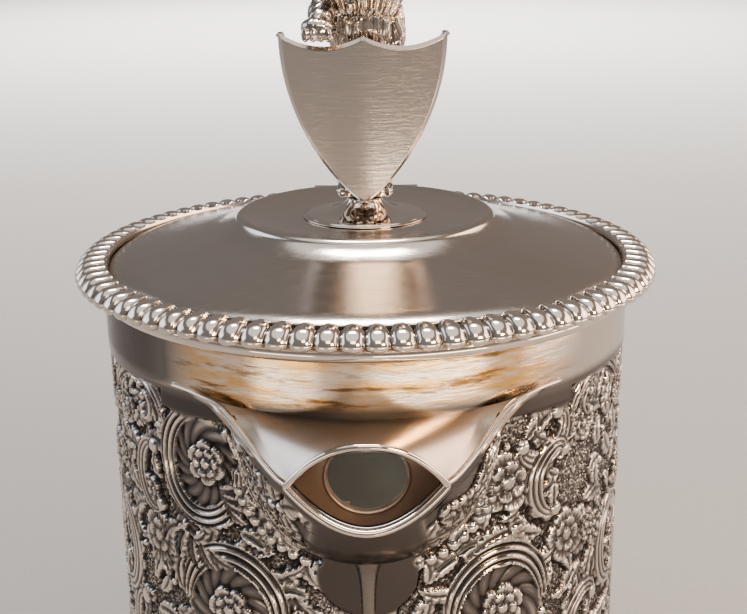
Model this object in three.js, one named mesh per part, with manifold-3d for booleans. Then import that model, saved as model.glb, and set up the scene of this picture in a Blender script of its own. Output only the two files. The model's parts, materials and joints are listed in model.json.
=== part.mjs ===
// Covered silver jug: a chased drum body with a hooded beak spout, a stepped lid on a five-knuckle hinge,
// a finial of a lion holding a shield, and a scroll handle between two insulating collars.
// Millimetres, +Z up, spout towards -Y.
import * as THREE from "three";
import { mergeVertices } from "three/addons/utils/BufferGeometryUtils.js";
import Module from "manifold-3d";

const wasm = await Module();
wasm.setup();

// ---- driving dimensions ---------------------------------------------------------------------------------
const BODY_RADIUS = 38; // outside of the drum
const BODY_HEIGHT = 92; // table to the drum's top edge; lid and spout heights are given from this edge
const SHEET = 0.9; // thickness of all raised and rolled sheet
const JOINT_GAP = 0.3; // solder line left open between neighbouring pieces
const WALL_FOOT_Z = 3.4;
const TURNED_SIDES = 48;
const WINDOW = { halfWidth: 5.4, halfHeight: 5, z: -17.2 }; // the way through the drum into the beak

const LID_RADIUS = 42;
const BORDER_WIDTH = 4.6;
const BEZEL_RADIUS = 36.8;
const BEZEL_DEPTH = 4;
const DISC_RADIUS = 18.9; // raised centre of the lid, dished inside its rim
const DISC_RIM_Z = 8.2;
const DISC_Z = 7.4;

const HINGE_Y = 44.4;
const HINGE_Z = 0.2; // above the drum's top edge
const KNUCKLE_RADIUS = 1.6;
const KNUCKLE_LENGTH = 3.4;
const KNUCKLE_GAP = 0.3;
const KNUCKLES = 5;
const PIN_RADIUS = 0.7;
const HINGE_WIDTH = KNUCKLES * KNUCKLE_LENGTH + (KNUCKLES - 1) * KNUCKLE_GAP;

const MOUTH_HALF_WIDTH = 9.5;
const MOUTH_CORNER = { reach: 45.4, z: -14.5 };
const ARCH_TOP = { reach: 47.4, z: -8.8 };
const LIP_LOW = { reach: 47.6, z: -19.5 };
const WING_ANGLE = THREE.MathUtils.degToRad(41); // how far round the drum the spout's hood spreads
const HOOD_ROOT_Z = -7.2; // where the hood meets the drum at the wings
const HOOD_SAG = 2.4; // how much lower it meets the drum in the middle
const HOOD_FAN = 1.2; // how strongly it spreads from the mouth to the drum
const HOOD_BEND = 1.5; // above 1 the hood starts level and falls towards its front edge
const BOWL_DROP = 1.3 * JOINT_GAP; // how far the bowl's front edge lies under the hood's
const BEAK_HALF_WIDTH = 17; // of the beak's bowl where it meets the drum
const BEAK_ROOT_Z = -28.6;

const SHIELD_HALF_WIDTH = 11.8;
const SHIELD_FOOT_Z = 10.2;
const SHIELD_TOP_Z = 33.6;
const SHIELD_THICKNESS = 1.1;

const FINISHES = {
  polished: { color: 0xccc4ba, roughness: 0.15, metalness: 1 },
  chased: { color: 0xa39a8f, roughness: 0.3, metalness: 1 },
  brushed: { color: 0xc4bcb1, roughness: 0.25, metalness: 1 },
  cast: { color: 0xb2a799, roughness: 0.3, metalness: 1 },
  plain: { color: 0xb3ada5, roughness: 0.35, metalness: 1 },
  ivory: { color: 0xe6dbba, roughness: 0.45, metalness: 0 },
};

// ---- helpers --------------------------------------------------------------------------------------------
const point = (x, y, z) => new THREE.Vector3(x, y, z);
const mix = THREE.MathUtils.lerp;
const fromTop = (z) => BODY_HEIGHT + z;

// A BufferGeometry as a manifold solid, with shared vertices merged and collapsed triangles dropped.
function solidOf(geometry) {
  const bare = new THREE.BufferGeometry();
  bare.setAttribute("position", geometry.getAttribute("position").clone());
  if (geometry.index) bare.setIndex(geometry.index.clone());
  const merged = mergeVertices(bare, 1e-4);
  const kept = [];
  for (let i = 0; i < merged.index.count; i += 3) {
    const [a, b, c] = [0, 1, 2].map((k) => merged.index.getX(i + k));
    if (a !== b && b !== c && a !== c) kept.push(a, b, c);
  }
  const vertProperties = merged.attributes.position.array;
  return new wasm.Manifold(new wasm.Mesh({ numProp: 3, vertProperties, triVerts: new Uint32Array(kept) }));
}

function geometryOf(solid) {
  const mesh = solid.getMesh();
  const geometry = new THREE.BufferGeometry();
  geometry.setAttribute("position", new THREE.BufferAttribute(new Float32Array(mesh.vertProperties), 3));
  geometry.setIndex(new THREE.BufferAttribute(new Uint32Array(mesh.triVerts), 1));
  geometry.computeVertexNormals();
  return geometry;
}

const join = (...parts) => geometryOf(parts.map(solidOf).reduce((a, b) => a.add(b)));
const cut = (base, ...tools) => geometryOf(tools.map(solidOf).reduce((a, b) => a.subtract(b), solidOf(base)));

// A ring or disc turned about Z from an outline of [radius, height] pairs.
function turned(outline, sides = TURNED_SIDES) {
  const points = outline.map(([r, z]) => new THREE.Vector2(r, z));
  if (THREE.ShapeUtils.area(points) < 0) points.reverse();
  return new THREE.LatheGeometry([...points, points[0]], sides).rotateX(Math.PI / 2);
}

// A closed surface over rings of points of equal length, capped at both ends unless the rings close up.
function skinned(rings, closed = false) {
  const across = rings[0].length;
  const positions = rings.flat().flatMap((p) => p.toArray());
  const index = [];
  const last = closed ? rings.length : rings.length - 1;
  for (let i = 0; i < last; i++)
    for (let j = 0; j < across; j++) {
      const [a, b] = [i * across + j, i * across + ((j + 1) % across)];
      const next = (i + 1) % rings.length;
      const [c, d] = [next * across + ((j + 1) % across), next * across + j];
      index.push(a, b, c, a, c, d);
    }
  if (!closed) {
    const end = (rings.length - 1) * across;
    for (let j = 1; j < across - 1; j++) index.push(0, j + 1, j, end, end + j, end + j + 1);
  }
  const geometry = new THREE.BufferGeometry().setIndex(index);
  geometry.setAttribute("position", new THREE.Float32BufferAttribute(positions, 3));
  return facingOut(geometry);
}

function facingOut(geometry) {
  if (solidOf(geometry).volume() < 0) {
    const index = geometry.index.array;
    for (let i = 0; i < index.length; i += 3) [index[i + 1], index[i + 2]] = [index[i + 2], index[i + 1]];
  }
  geometry.computeVertexNormals();
  return geometry;
}

// A bar along a curve; radius(t) gives its radius, or [half width, half depth], at each share of its length.
function swept(curve, radius, { steps = 24, sides = 12, from = 0, to = 1, across = point(1, 0, 0) } = {}) {
  const rings = [];
  for (let i = 0; i <= steps; i++) {
    const t = mix(from, to, i / steps);
    const along = curve.getTangentAt(t);
    const side = across.clone().addScaledVector(along, -across.dot(along)).normalize();
    const up = new THREE.Vector3().crossVectors(along, side);
    const size = [radius(i / steps)].flat();
    const [wide, deep] = [size[0], size[size.length - 1]];
    const ring = [];
    for (let j = 0; j < sides; j++) {
      const a = (2 * Math.PI * j) / sides;
      ring.push(
        curve.getPointAt(t).addScaledVector(side, wide * Math.cos(a)).addScaledVector(up, deep * Math.sin(a)),
      );
    }
    rings.push(ring);
  }
  return skinned(rings);
}

// A sheet of even thickness whose outside is surface(u, v), with u and v from 0 to 1.
function sheet(surface, columns, rows, thickness = SHEET) {
  const step = 1e-3;
  const at = (u, v, inside) => {
    const p = surface(u, v);
    if (!inside) return p;
    const [u0, u1] = [Math.max(0, u - step), Math.min(1, u + step)];
    const [v0, v1] = [Math.max(0, v - step), Math.min(1, v + step)];
    const du = surface(u1, v).sub(surface(u0, v));
    const dv = surface(u, v1).sub(surface(u, v0));
    return p.addScaledVector(du.cross(dv).normalize(), -thickness);
  };
  const rings = [];
  for (let i = 0; i <= columns; i++) {
    const ring = [];
    for (let j = 0; j <= rows; j++) ring.push(at(i / columns, j / rows, false));
    for (let j = rows; j >= 0; j--) ring.push(at(i / columns, j / rows, true));
    rings.push(ring);
  }
  return capped(rings, rows);
}

// Caps a sheet's first and last rings with quads between its two faces, which a fan would not follow
// when they bend.
function capped(rings, rows) {
  const across = rings[0].length;
  const index = [];
  for (let i = 0; i < rings.length - 1; i++)
    for (let j = 0; j < across; j++) {
      const [a, b] = [i * across + j, i * across + ((j + 1) % across)];
      index.push(a, b, b + across, a, b + across, a + across);
    }
  for (const [start, flip] of [[0, true], [(rings.length - 1) * across, false]])
    for (let j = 0; j < rows; j++) {
      const quad = [start + j, start + j + 1, start + across - 2 - j, start + across - 1 - j];
      const [a, b, c, d] = flip ? [...quad].reverse() : quad;
      index.push(a, b, c, a, c, d);
    }
  const geometry = new THREE.BufferGeometry().setIndex(index);
  const positions = rings.flat().flatMap((p) => p.toArray());
  geometry.setAttribute("position", new THREE.Float32BufferAttribute(positions, 3));
  return facingOut(geometry);
}

function box(x, y, z, [dx, dy, dz]) {
  return new THREE.BoxGeometry(dx, dy, dz).translate(x, y, z);
}

function rodAlongX(radius, length, y, z, x = 0, sides = 16) {
  return new THREE.CylinderGeometry(radius, radius, length, sides).rotateZ(Math.PI / 2).translate(x, y, z);
}

// A prism along X from an outline in the Y-Z plane.
function prismAlongX(outline, width) {
  const shape = new THREE.Shape(outline.map(([y, z]) => new THREE.Vector2(y, z)));
  const prism = new THREE.ExtrudeGeometry(shape, { depth: width, bevelEnabled: false });
  return prism.rotateY(Math.PI / 2).rotateX(Math.PI / 2).translate(-width / 2, 0, 0);
}

// The drum's own volume with a solder gap round it, which pieces on the drum are cut back to.
const drumCore = turned([
  [0, -10],
  [BODY_RADIUS + JOINT_GAP, -10],
  [BODY_RADIUS + JOINT_GAP, BODY_HEIGHT + 20],
  [0, BODY_HEIGHT + 20],
]);
const offDrum = (geometry) => cut(geometry, drumCore);

const body = new THREE.Group();
const lid = new THREE.Group();
function add(group, name, geometry, finish = "polished") {
  const mesh = new THREE.Mesh(geometry, new THREE.MeshStandardMaterial(FINISHES[finish]));
  mesh.name = name;
  group.add(mesh);
}

// ---- drum, base and foot --------------------------------------------------------------------------------
function bodyWall() {
  const inner = BODY_RADIUS - SHEET;
  const wall = turned([
    [inner, WALL_FOOT_Z],
    [BODY_RADIUS, WALL_FOOT_Z],
    [BODY_RADIUS, BODY_HEIGHT],
    [inner, BODY_HEIGHT],
  ]);
  const oval = new THREE.Shape();
  oval.absellipse(0, 0, WINDOW.halfWidth, WINDOW.halfHeight, 0, 2 * Math.PI);
  const through = { depth: BODY_RADIUS + 10, bevelEnabled: false, curveSegments: 14 };
  const plug = new THREE.ExtrudeGeometry(oval, through);
  return cut(wall, plug.rotateX(Math.PI / 2).translate(0, 0, fromTop(WINDOW.z)));
}

function basePlate() {
  const edge = BODY_RADIUS - SHEET - JOINT_GAP;
  const [low, rise] = [WALL_FOOT_Z, 1.6];
  return turned([
    [0, low + rise],
    [edge * 0.55, low + rise],
    [edge * 0.85, low],
    [edge, low],
    [edge, low + SHEET],
    [edge * 0.85, low + SHEET],
    [edge * 0.55, low + rise + SHEET],
    [0, low + rise + SHEET],
  ]);
}

function footRim() {
  const seat = BODY_RADIUS + JOINT_GAP;
  const [inner, outer, ledge] = [BODY_RADIUS - 1.4, LID_RADIUS, WALL_FOOT_Z - JOINT_GAP];
  return turned([
    [inner, 0],
    [outer - 0.6, 0],
    [outer - 0.1, 0.5],
    [outer - 0.1, 1.3],
    [outer - 0.8, 1.8],
    [outer, 2.6],
    [outer, 3.6],
    [outer - 0.8, 4.8],
    [outer - 2.2, 5.6],
    [seat, 5.9],
    [seat, ledge],
    [inner, ledge],
  ]);
}

function rimWire() {
  const seat = BODY_RADIUS + JOINT_GAP;
  return turned([
    [seat, fromTop(-2.1)],
    [seat + 0.5, fromTop(-1.9)],
    [seat + 0.8, fromTop(-1.1)],
    [seat + 0.5, fromTop(-0.3)],
    [seat, fromTop(-0.1)],
  ]);
}

add(body, "body_wall", bodyWall(), "chased");
add(body, "base_plate", basePlate());
add(body, "foot_rim", footRim());
add(body, "rim_wire", rimWire());

// ---- spout ----------------------------------------------------------------------------------------------
const onDrum = (angle, z, radius = BODY_RADIUS) =>
  point(radius * Math.sin(angle), -radius * Math.cos(angle), fromTop(z));

// Half of the crease between hood and bowl, from the wing's tip on the drum to the mouth's corner.
const crease = new THREE.CatmullRomCurve3([
  onDrum(WING_ANGLE, HOOD_ROOT_Z - 0.6, BODY_RADIUS + 0.8),
  point(21.4, -33.2, fromTop(-7.9)),
  point(17.9, -35.4, fromTop(-8.7)),
  point(14.8, -38.8, fromTop(-11.3)),
  point(13, -41, fromTop(-12.9)),
  point(11, -43.6, fromTop(-14.1)),
  point(MOUTH_HALF_WIDTH, -MOUTH_CORNER.reach, fromTop(MOUTH_CORNER.z)),
]);
const mirrored = (p, side) => point(p.x * side, p.y, p.z);

// The mouth's upper and lower edges, across from one corner to the other as s runs from -1 to 1.
function mouthEdge(s, middle, fullness) {
  const reach = mix(middle.reach, MOUTH_CORNER.reach, s * s);
  const z = mix(middle.z, MOUTH_CORNER.z, Math.abs(s) ** fullness);
  return point(MOUTH_HALF_WIDTH * s, -reach, fromTop(z));
}
const ARCH_FULLNESS = 2.3;
const LIP_FULLNESS = 1.9;

// A front edge that follows the crease on both sides and the mouth's edge between the corners.
function frontEdge(u, mouthShare, creaseFrom, middle, fullness) {
  const s = 2 * u - 1;
  if (Math.abs(s) <= mouthShare) return mouthEdge(s / mouthShare, middle, fullness);
  const outward = (Math.abs(s) - mouthShare) / (1 - mouthShare);
  return mirrored(crease.getPointAt(mix(1, creaseFrom, outward)), Math.sign(s));
}

function hoodSurface(u, v) {
  const s = 2 * u - 1;
  const fan = (s * (1 + HOOD_FAN)) / (1 + HOOD_FAN * Math.abs(s));
  const root = onDrum(fan * WING_ANGLE, HOOD_ROOT_Z - HOOD_SAG * (1 - fan * fan), BODY_RADIUS - 1);
  const front = frontEdge(u, 0.42, 0, ARCH_TOP, ARCH_FULLNESS);
  const p = root.clone().lerp(front, v);
  p.z = mix(root.z, front.z, v ** HOOD_BEND);
  return p;
}

// The bowl's outline on the drum: up one side, round the bottom and up the other.
function bowlRoot(u) {
  const turn = (2 * u - 1) * (Math.PI / 2);
  const side = Math.sign(turn) * Math.abs(Math.sin(turn)) ** 0.8;
  const z = mix(-10.6, BEAK_ROOT_Z, Math.cos(turn) ** 0.8);
  return onDrum(Math.asin((BEAK_HALF_WIDTH * side) / BODY_RADIUS), z, BODY_RADIUS - 1);
}

function bowlSurface(u, v) {
  const root = bowlRoot(u);
  const front = frontEdge(u, 0.45, 0.45, LIP_LOW, LIP_FULLNESS);
  front.z -= BOWL_DROP + SHEET * (0.5 + 0.5 * Math.min(1, Math.abs(2 * u - 1) / 0.45));
  const belly = 1.6 * Math.sin(Math.PI * v) * Math.cos((2 * u - 1) * (Math.PI / 2)) ** 0.5;
  const p = root.lerp(front, v);
  p.y -= belly * 0.5;
  p.z -= belly;
  return p;
}

function lipWire() {
  const loop = [];
  const steps = 14;
  for (let i = 0; i < steps; i++) loop.push(mouthEdge((2 * i) / steps - 1, ARCH_TOP, ARCH_FULLNESS));
  for (let i = 0; i < steps; i++) {
    const low = mouthEdge(1 - (2 * i) / steps, LIP_LOW, LIP_FULLNESS);
    low.z -= 0.9;
    loop.push(low);
  }
  const rings = loop.map((p, i) => {
    const before = loop[(i + loop.length - 1) % loop.length];
    const after = loop[(i + 1) % loop.length];
    const along = after.clone().sub(before).normalize();
    const forward = point(0, -1, 0).addScaledVector(along, along.y).normalize();
    const out = new THREE.Vector3().crossVectors(along, forward);
    const centre = p.clone().addScaledVector(forward, 0.95);
    return Array.from({ length: 8 }, (_, j) => {
      const a = (2 * Math.PI * j) / 8;
      const [towards, sideways] = [0.6 * Math.cos(a), 0.6 * Math.sin(a)];
      return centre.clone().addScaledVector(forward, towards).addScaledVector(out, sideways);
    });
  });
  return skinned(rings, true);
}

function spoutDrop() {
  const [top, length] = [BEAK_ROOT_Z - 1.2, 19];
  const reach = BODY_RADIUS + 0.6;
  const line = new THREE.LineCurve3(onDrum(0, top, reach), onDrum(0, top - length, reach));
  const rib = swept(line, (t) => [mix(1.5, 0.6, t ** 0.7), mix(1.3, 0.6, t)], { steps: 10, sides: 12 });
  const bead = new THREE.SphereGeometry(1.2, 14, 10).translate(0, -reach, fromTop(top - length));
  return offDrum(join(rib, bead));
}

add(body, "spout_hood", offDrum(sheet(hoodSurface, 32, 5)));
add(body, "spout_bowl", offDrum(sheet(bowlSurface, 28, 6)));
add(body, "spout_lip_wire", lipWire());
add(body, "spout_drop", spoutDrop());

// ---- hinge ----------------------------------------------------------------------------------------------
const hingeZ = fromTop(HINGE_Z);
const knuckleX = (i) => (i - (KNUCKLES - 1) / 2) * (KNUCKLE_LENGTH + KNUCKLE_GAP);

function knuckle(i) {
  const tube = rodAlongX(KNUCKLE_RADIUS, KNUCKLE_LENGTH, HINGE_Y, hingeZ, knuckleX(i));
  return cut(tube, rodAlongX(PIN_RADIUS + 0.15, KNUCKLE_LENGTH + 1, HINGE_Y, hingeZ, knuckleX(i)));
}

const barrelSpace = rodAlongX(KNUCKLE_RADIUS + 0.2, HINGE_WIDTH + 4, HINGE_Y, hingeZ);

// Each leaf is a block beside the barrel with a hollow seat for it: the drum's below, the lid's above.
function bodyLeaf() {
  const seat = BODY_RADIUS - 1;
  const outline = [
    [seat, fromTop(-6.5)],
    [HINGE_Y - 1.2, fromTop(-2.6)],
    [HINGE_Y + 0.8, fromTop(-2.2)],
    [HINGE_Y + 0.8, fromTop(-1)],
    [HINGE_Y - 0.5, fromTop(-1)],
    [HINGE_Y - 1.9, fromTop(-1)],
    [seat, fromTop(-2.5)],
  ];
  return cut(offDrum(prismAlongX(outline, HINGE_WIDTH)), barrelSpace);
}

function lidLeaf() {
  const outline = [
    [LID_RADIUS - BORDER_WIDTH - 0.2, fromTop(0.5)],
    [HINGE_Y, fromTop(0.5)],
    [HINGE_Y, fromTop(2.4)],
    [HINGE_Y - 1.6, fromTop(2.9)],
    [LID_RADIUS - BORDER_WIDTH - 0.2, fromTop(2.9)],
  ];
  const inner = LID_RADIUS - BORDER_WIDTH;
  const withinBorder = turned([[0, 0], [inner, 0], [inner, 200], [0, 200]]);
  return cut(prismAlongX(outline, HINGE_WIDTH), withinBorder, barrelSpace);
}

add(body, "hinge_leaf_body", bodyLeaf());
add(lid, "hinge_leaf_lid", lidLeaf());
for (let i = 0; i < KNUCKLES; i++) add(i % 2 ? lid : body, `hinge_knuckle_${i + 1}`, knuckle(i));
add(body, "hinge_pin", rodAlongX(PIN_RADIUS, HINGE_WIDTH + 0.8, HINGE_Y, hingeZ), "plain");

// ---- lid ------------------------------------------------------------------------------------------------
const STUD_RADIUS = 1.2;
const STUD_HOLE = STUD_RADIUS + 0.3;
const plateEdge = LID_RADIUS - BORDER_WIDTH - JOINT_GAP;

// The outside of the lid's sheet, from the border in: a shoulder, a slope, a cove and a dished disc.
const PLATE_EDGE_Z = 1.55;
const lidProfile = [
  [plateEdge, PLATE_EDGE_Z],
  [plateEdge - 1, 2.4],
  [plateEdge - 2.5, 2.95],
  [30, 4],
  [24, 5.5],
  [DISC_RADIUS + 3, 6.05],
  [DISC_RADIUS + 1.2, 6.8],
  [DISC_RADIUS, DISC_RIM_Z - 0.6],
  [DISC_RADIUS - 0.9, DISC_RIM_Z],
  [DISC_RADIUS - 3, DISC_Z + 0.45],
  [DISC_RADIUS - 7, DISC_Z],
  [STUD_HOLE, DISC_Z],
];

function lidPlate() {
  const outside = lidProfile.map(([r, z]) => [r, fromTop(z)]);
  const inside = lidProfile.map(([r, z]) => [r, fromTop(z - SHEET)]).reverse();
  return turned([...outside, ...inside]);
}

function lidBorder() {
  const inner = LID_RADIUS - BORDER_WIDTH;
  const ring = turned([
    [inner, fromTop(0.4)],
    [LID_RADIUS - 1.2, fromTop(0.4)],
    [LID_RADIUS - 0.2, fromTop(0.8)],
    [LID_RADIUS, fromTop(1.3)],
    [LID_RADIUS - 0.4, fromTop(2)],
    [LID_RADIUS - 1.8, fromTop(2.7)],
    [inner + 1, fromTop(3)],
    [inner, fromTop(2.8)],
  ]);
  return cut(ring, box(0, HINGE_Y, BODY_HEIGHT, [HINGE_WIDTH + 0.6, 16, 20]));
}

function lidBezel() {
  const inner = BEZEL_RADIUS - 0.8;
  const top = fromTop(PLATE_EDGE_Z - SHEET);
  return turned([
    [inner, fromTop(-BEZEL_DEPTH)],
    [BEZEL_RADIUS, fromTop(-BEZEL_DEPTH)],
    [BEZEL_RADIUS, top],
    [inner, top],
  ]);
}

add(lid, "lid_plate", lidPlate(), "brushed");
add(lid, "lid_border", lidBorder(), "chased");
add(lid, "lid_bezel", lidBezel(), "plain");

// ---- finial: plinth, lion, shield and its fixing --------------------------------------------------------
function finialPlinth() {
  const base = fromTop(DISC_Z + JOINT_GAP);
  return turned([
    [STUD_HOLE, base],
    [8.6, base],
    [8.6, base + 0.3],
    [5.6, base + 0.6],
    [3.4, base + 1.1],
    [2.4, base + 2.2],
    [STUD_HOLE, base + 2.2],
  ], 32);
}

// A heater shield: pointed foot, three points along the top, bowed forward across its width.
function shieldSurface(u, v) {
  const s = 2 * u - 1;
  const half = SHIELD_HALF_WIDTH * Math.sin((Math.PI / 2) * mix(0.01, 1, v) ** 0.78);
  const crest = SHIELD_TOP_Z - 1.5 * Math.sin(Math.PI * Math.abs(s)) ** 0.8 + 0.4 * s * s;
  const bow = 1.9 * (1 - (s * half / SHIELD_HALF_WIDTH) ** 2);
  return point(half * s, -2.6 - bow, fromTop(mix(SHIELD_FOOT_Z, crest, v)));
}

// An egg: a sphere stretched to half sizes [x, y, z].
const egg = (x, y, z, [a, b, c], tilt = 0) =>
  new THREE.SphereGeometry(1, 11, 7).scale(a, b, c).rotateX(tilt).translate(x, y, fromTop(z));
const limb = (points, radii, steps = 8) =>
  swept(new THREE.CatmullRomCurve3(points.map(([x, y, z]) => point(x, y, fromTop(z)))), (t) => {
    const k = t * (radii.length - 1);
    const i = Math.min(radii.length - 2, Math.floor(k));
    return mix(radii[i], radii[i + 1], k - i);
  }, { steps, sides: 8, across: point(0.8, 0.6, 0.1) });

// The lion stands on its hind legs behind the shield, one forepaw over the shield's top and one behind it.
function lion() {
  const legs = [-1, 1].flatMap((side) => [
    egg(2.5 * side, 1, 11.3, [1.5, 2.7, 1]),
    limb([[2.5 * side, 2, 11.3], [2.7 * side, 2.8, 14.4], [2.9 * side, 2.4, 18.4]], [1.2, 1.6, 2.3], 4),
    egg(2.9 * side, 2.5, 19.6, [2.5, 3.4, 4.7], 0.2),
  ]);
  const trunk = [
    egg(0, 3.2, 20.5, [4.4, 3.8, 5]),
    egg(0, 3, 27, [4.2, 3.7, 7]),
    egg(0, 2.4, 34, [5, 4.2, 6.2]),
    egg(0, 2, 11.6, [3, 2.6, 1.2]),
    egg(0, 3, 16, [2.6, 2.1, 5]),
  ];
  const arms = [
    limb([[-3.4, 2.4, 36.4], [-5.6, 0.8, 36.6], [-6, -2.4, 35.6]], [2.2, 1.9, 1.6], 5),
    egg(-6.2, -4.2, 35.2, [2.2, 2.4, 1.3]),
    limb([[3.2, 2.6, 36], [4.3, 1.6, 33.4], [3.8, 0.6, 30]], [2.2, 1.7, 1.4], 5),
  ];
  const head = [
    egg(0, 1.2, 41, [6, 4.8, 6.6]),
    egg(0, -1.2, 43.4, [3.9, 3.7, 4.1]),
    egg(0, -4.2, 42, [2.2, 2.4, 1.8]),
    egg(-3.9, 0.2, 47, [1.3, 0.9, 1.3]),
    egg(3.9, 0.2, 47, [1.3, 0.9, 1.3]),
  ];
  return join(...legs, ...trunk, ...arms, ...head);
}

function lionTail() {
  return limb(
    [[0, 7.4, 17.5], [0.6, 10, 19.5], [1, 10.8, 24], [0.4, 9.6, 29], [0.6, 10.6, 33.5], [0.8, 11, 36.5]],
    [0.9, 0.8, 0.7, 0.8, 1.9, 0.7],
    18,
  );
}

// The stud runs from inside the lion's feet down through the plinth, the lid and a washer to its nut.
const [STUD_LOW_Z, STUD_HIGH_Z] = [2.6, 9.8];
const [NUT_Z, NUT_RADIUS, NUT_HEIGHT] = [3.9, 3.2, 2.4];

function finialStud() {
  const stud = new THREE.CylinderGeometry(STUD_RADIUS, STUD_RADIUS, STUD_HIGH_Z - STUD_LOW_Z, 16);
  return stud.rotateX(Math.PI / 2).translate(0, 0, fromTop((STUD_LOW_Z + STUD_HIGH_Z) / 2));
}

function finialWasher() {
  const thickness = 0.8;
  const low = fromTop(DISC_Z - SHEET - JOINT_GAP - thickness);
  const [inner, outer] = [STUD_HOLE, NUT_RADIUS + 1.4];
  return turned([[inner, low], [outer, low], [outer, low + thickness], [inner, low + thickness]], 32);
}

function threadedNut() {
  const hex = new THREE.CylinderGeometry(NUT_RADIUS, NUT_RADIUS, NUT_HEIGHT, 6);
  const bore = new THREE.CylinderGeometry(STUD_RADIUS + 0.2, STUD_RADIUS + 0.2, NUT_HEIGHT + 2, 16);
  const placed = (part) => part.rotateX(Math.PI / 2).translate(0, 0, fromTop(NUT_Z));
  return cut(placed(hex), placed(bore));
}

add(lid, "finial_plinth", finialPlinth());
add(lid, "shield", sheet(shieldSurface, 12, 8, SHIELD_THICKNESS), "brushed");
add(lid, "lion_figure", lion(), "cast");
add(lid, "lion_tail", lionTail(), "cast");
add(lid, "finial_stud", finialStud(), "plain");
add(lid, "finial_washer", finialWasher(), "plain");
add(lid, "finial_nut", threadedNut(), "plain");

// ---- handle ---------------------------------------------------------------------------------------------
const handleLine = new THREE.CatmullRomCurve3(
  [
    [36.5, -17.5],
    [44, -14.6],
    [50.5, -10.8],
    [60, -7.6],
    [69, -11],
    [73.6, -21.5],
    [72, -34],
    [65, -46],
    [56.5, -55.5],
    [48, -62.5],
    [36.5, -67.5],
  ].map(([y, z]) => point(0, y, fromTop(z))),
);
const handleLength = handleLine.getLength();
const share = (length) => length / handleLength;
const SOCKET_END = 10.5; // lengths along the handle's line, from either root
const COLLAR = 2.2;
const TENON = 3.4;
const TENON_RADIUS = 2.1;
const GRIP_START = SOCKET_END + COLLAR + 2 * JOINT_GAP;

function handleSpan(from, to, radius, options = {}) {
  return swept(handleLine, radius, { steps: 4, sides: 14, from, to, ...options });
}

// The pieces at one root. flip turns a length along the handle into a share from that end.
function handleEnd(place, flip) {
  const at = (length) => (flip ? 1 - share(length) : share(length));
  const span = (a, b, r, options) => handleSpan(at(a), at(b), r, options);
  const tenon = (spare) => {
    const [start, end] = [SOCKET_END - TENON - spare, GRIP_START + TENON + spare];
    return span(start, end, () => TENON_RADIUS + spare, { steps: 5, sides: 12 });
  };
  const pinAt = (length, radius, reach) => {
    const p = handleLine.getPointAt(at(length));
    return rodAlongX(radius, reach, p.y, p.z, 0, 10);
  };
  const pins = [SOCKET_END - TENON / 2, GRIP_START + TENON / 2];
  const holes = pins.map((length) => pinAt(length, 0.8, 20));
  const socket = offDrum(span(0, SOCKET_END, (t) => mix(5.4, 4, Math.min(1, t * 1.3))));
  add(body, `handle_socket_${place}`, cut(socket, tenon(0.3), ...holes));
  const collar = span(SOCKET_END + JOINT_GAP, SOCKET_END + JOINT_GAP + COLLAR, () => 4.5, { steps: 2 });
  add(body, `insulator_${place}`, cut(join(collar, tenon(0)), ...holes), "ivory");
  pins.forEach((length, i) => add(body, `handle_pin_${place}_${i + 1}`, pinAt(length, 0.6, 8.1)));
  return { bore: tenon(0.3), holes };
}

const ends = [handleEnd("upper", false), handleEnd("lower", true)];
const gripWidth = (t) => mix(3.6, 4.2, Math.sin(Math.PI * t));
const gripDepth = (t) => mix(3.6, 3, Math.sin(Math.PI * t));
const gripSize = (t) => [gripWidth(t), gripDepth(t)];
const grip = handleSpan(share(GRIP_START), 1 - share(GRIP_START), gripSize, { steps: 20 });
const thumbRest = limb([[0, 60, -3.6], [0, 66.5, -3.4], [0, 72, -0.4]], [1.4, 2, 0.9], 8);
add(body, "handle_grip", cut(join(grip, thumbRest), ...ends.flatMap((end) => [end.bore, ...end.holes])));

// ---- the whole jug, moved so that the origin lies under the middle of its extents -----------------------
const jug = new THREE.Group();
jug.add(body, lid);
const middle = new THREE.Box3().setFromObject(jug).getCenter(point(0, 0, 0));
jug.position.set(-middle.x, -middle.y, 0);

export default jug;
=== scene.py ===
"""Looks for the covered silver jug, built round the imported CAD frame. Lengths here are millimetres, heights are given
from the drum's top edge unless a name says otherwise, and meshes are scaled to metres when they are made."""

import json
import math

import bpy
import numpy as np
from mathutils import Euler, Matrix, Vector, noise


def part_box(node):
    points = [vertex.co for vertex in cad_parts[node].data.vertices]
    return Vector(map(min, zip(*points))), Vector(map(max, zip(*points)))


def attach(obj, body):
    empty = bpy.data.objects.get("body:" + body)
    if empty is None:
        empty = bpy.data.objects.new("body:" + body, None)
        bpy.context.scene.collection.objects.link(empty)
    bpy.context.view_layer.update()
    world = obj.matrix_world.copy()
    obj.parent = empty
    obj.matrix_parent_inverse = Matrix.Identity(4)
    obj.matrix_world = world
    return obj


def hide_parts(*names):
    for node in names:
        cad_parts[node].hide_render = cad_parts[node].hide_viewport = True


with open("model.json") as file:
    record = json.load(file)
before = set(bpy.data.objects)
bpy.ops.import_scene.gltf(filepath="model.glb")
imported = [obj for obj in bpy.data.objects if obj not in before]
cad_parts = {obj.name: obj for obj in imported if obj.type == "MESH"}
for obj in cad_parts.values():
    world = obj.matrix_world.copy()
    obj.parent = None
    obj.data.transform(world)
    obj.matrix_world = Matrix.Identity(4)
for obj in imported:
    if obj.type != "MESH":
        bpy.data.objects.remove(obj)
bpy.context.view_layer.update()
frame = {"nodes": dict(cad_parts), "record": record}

MM = 0.001
TAU = 2 * math.pi


def node_box(node):
    """A CAD node's lowest and highest corners, in millimetres."""
    low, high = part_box(node)
    return Vector(low) / MM, Vector(high) / MM


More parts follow.
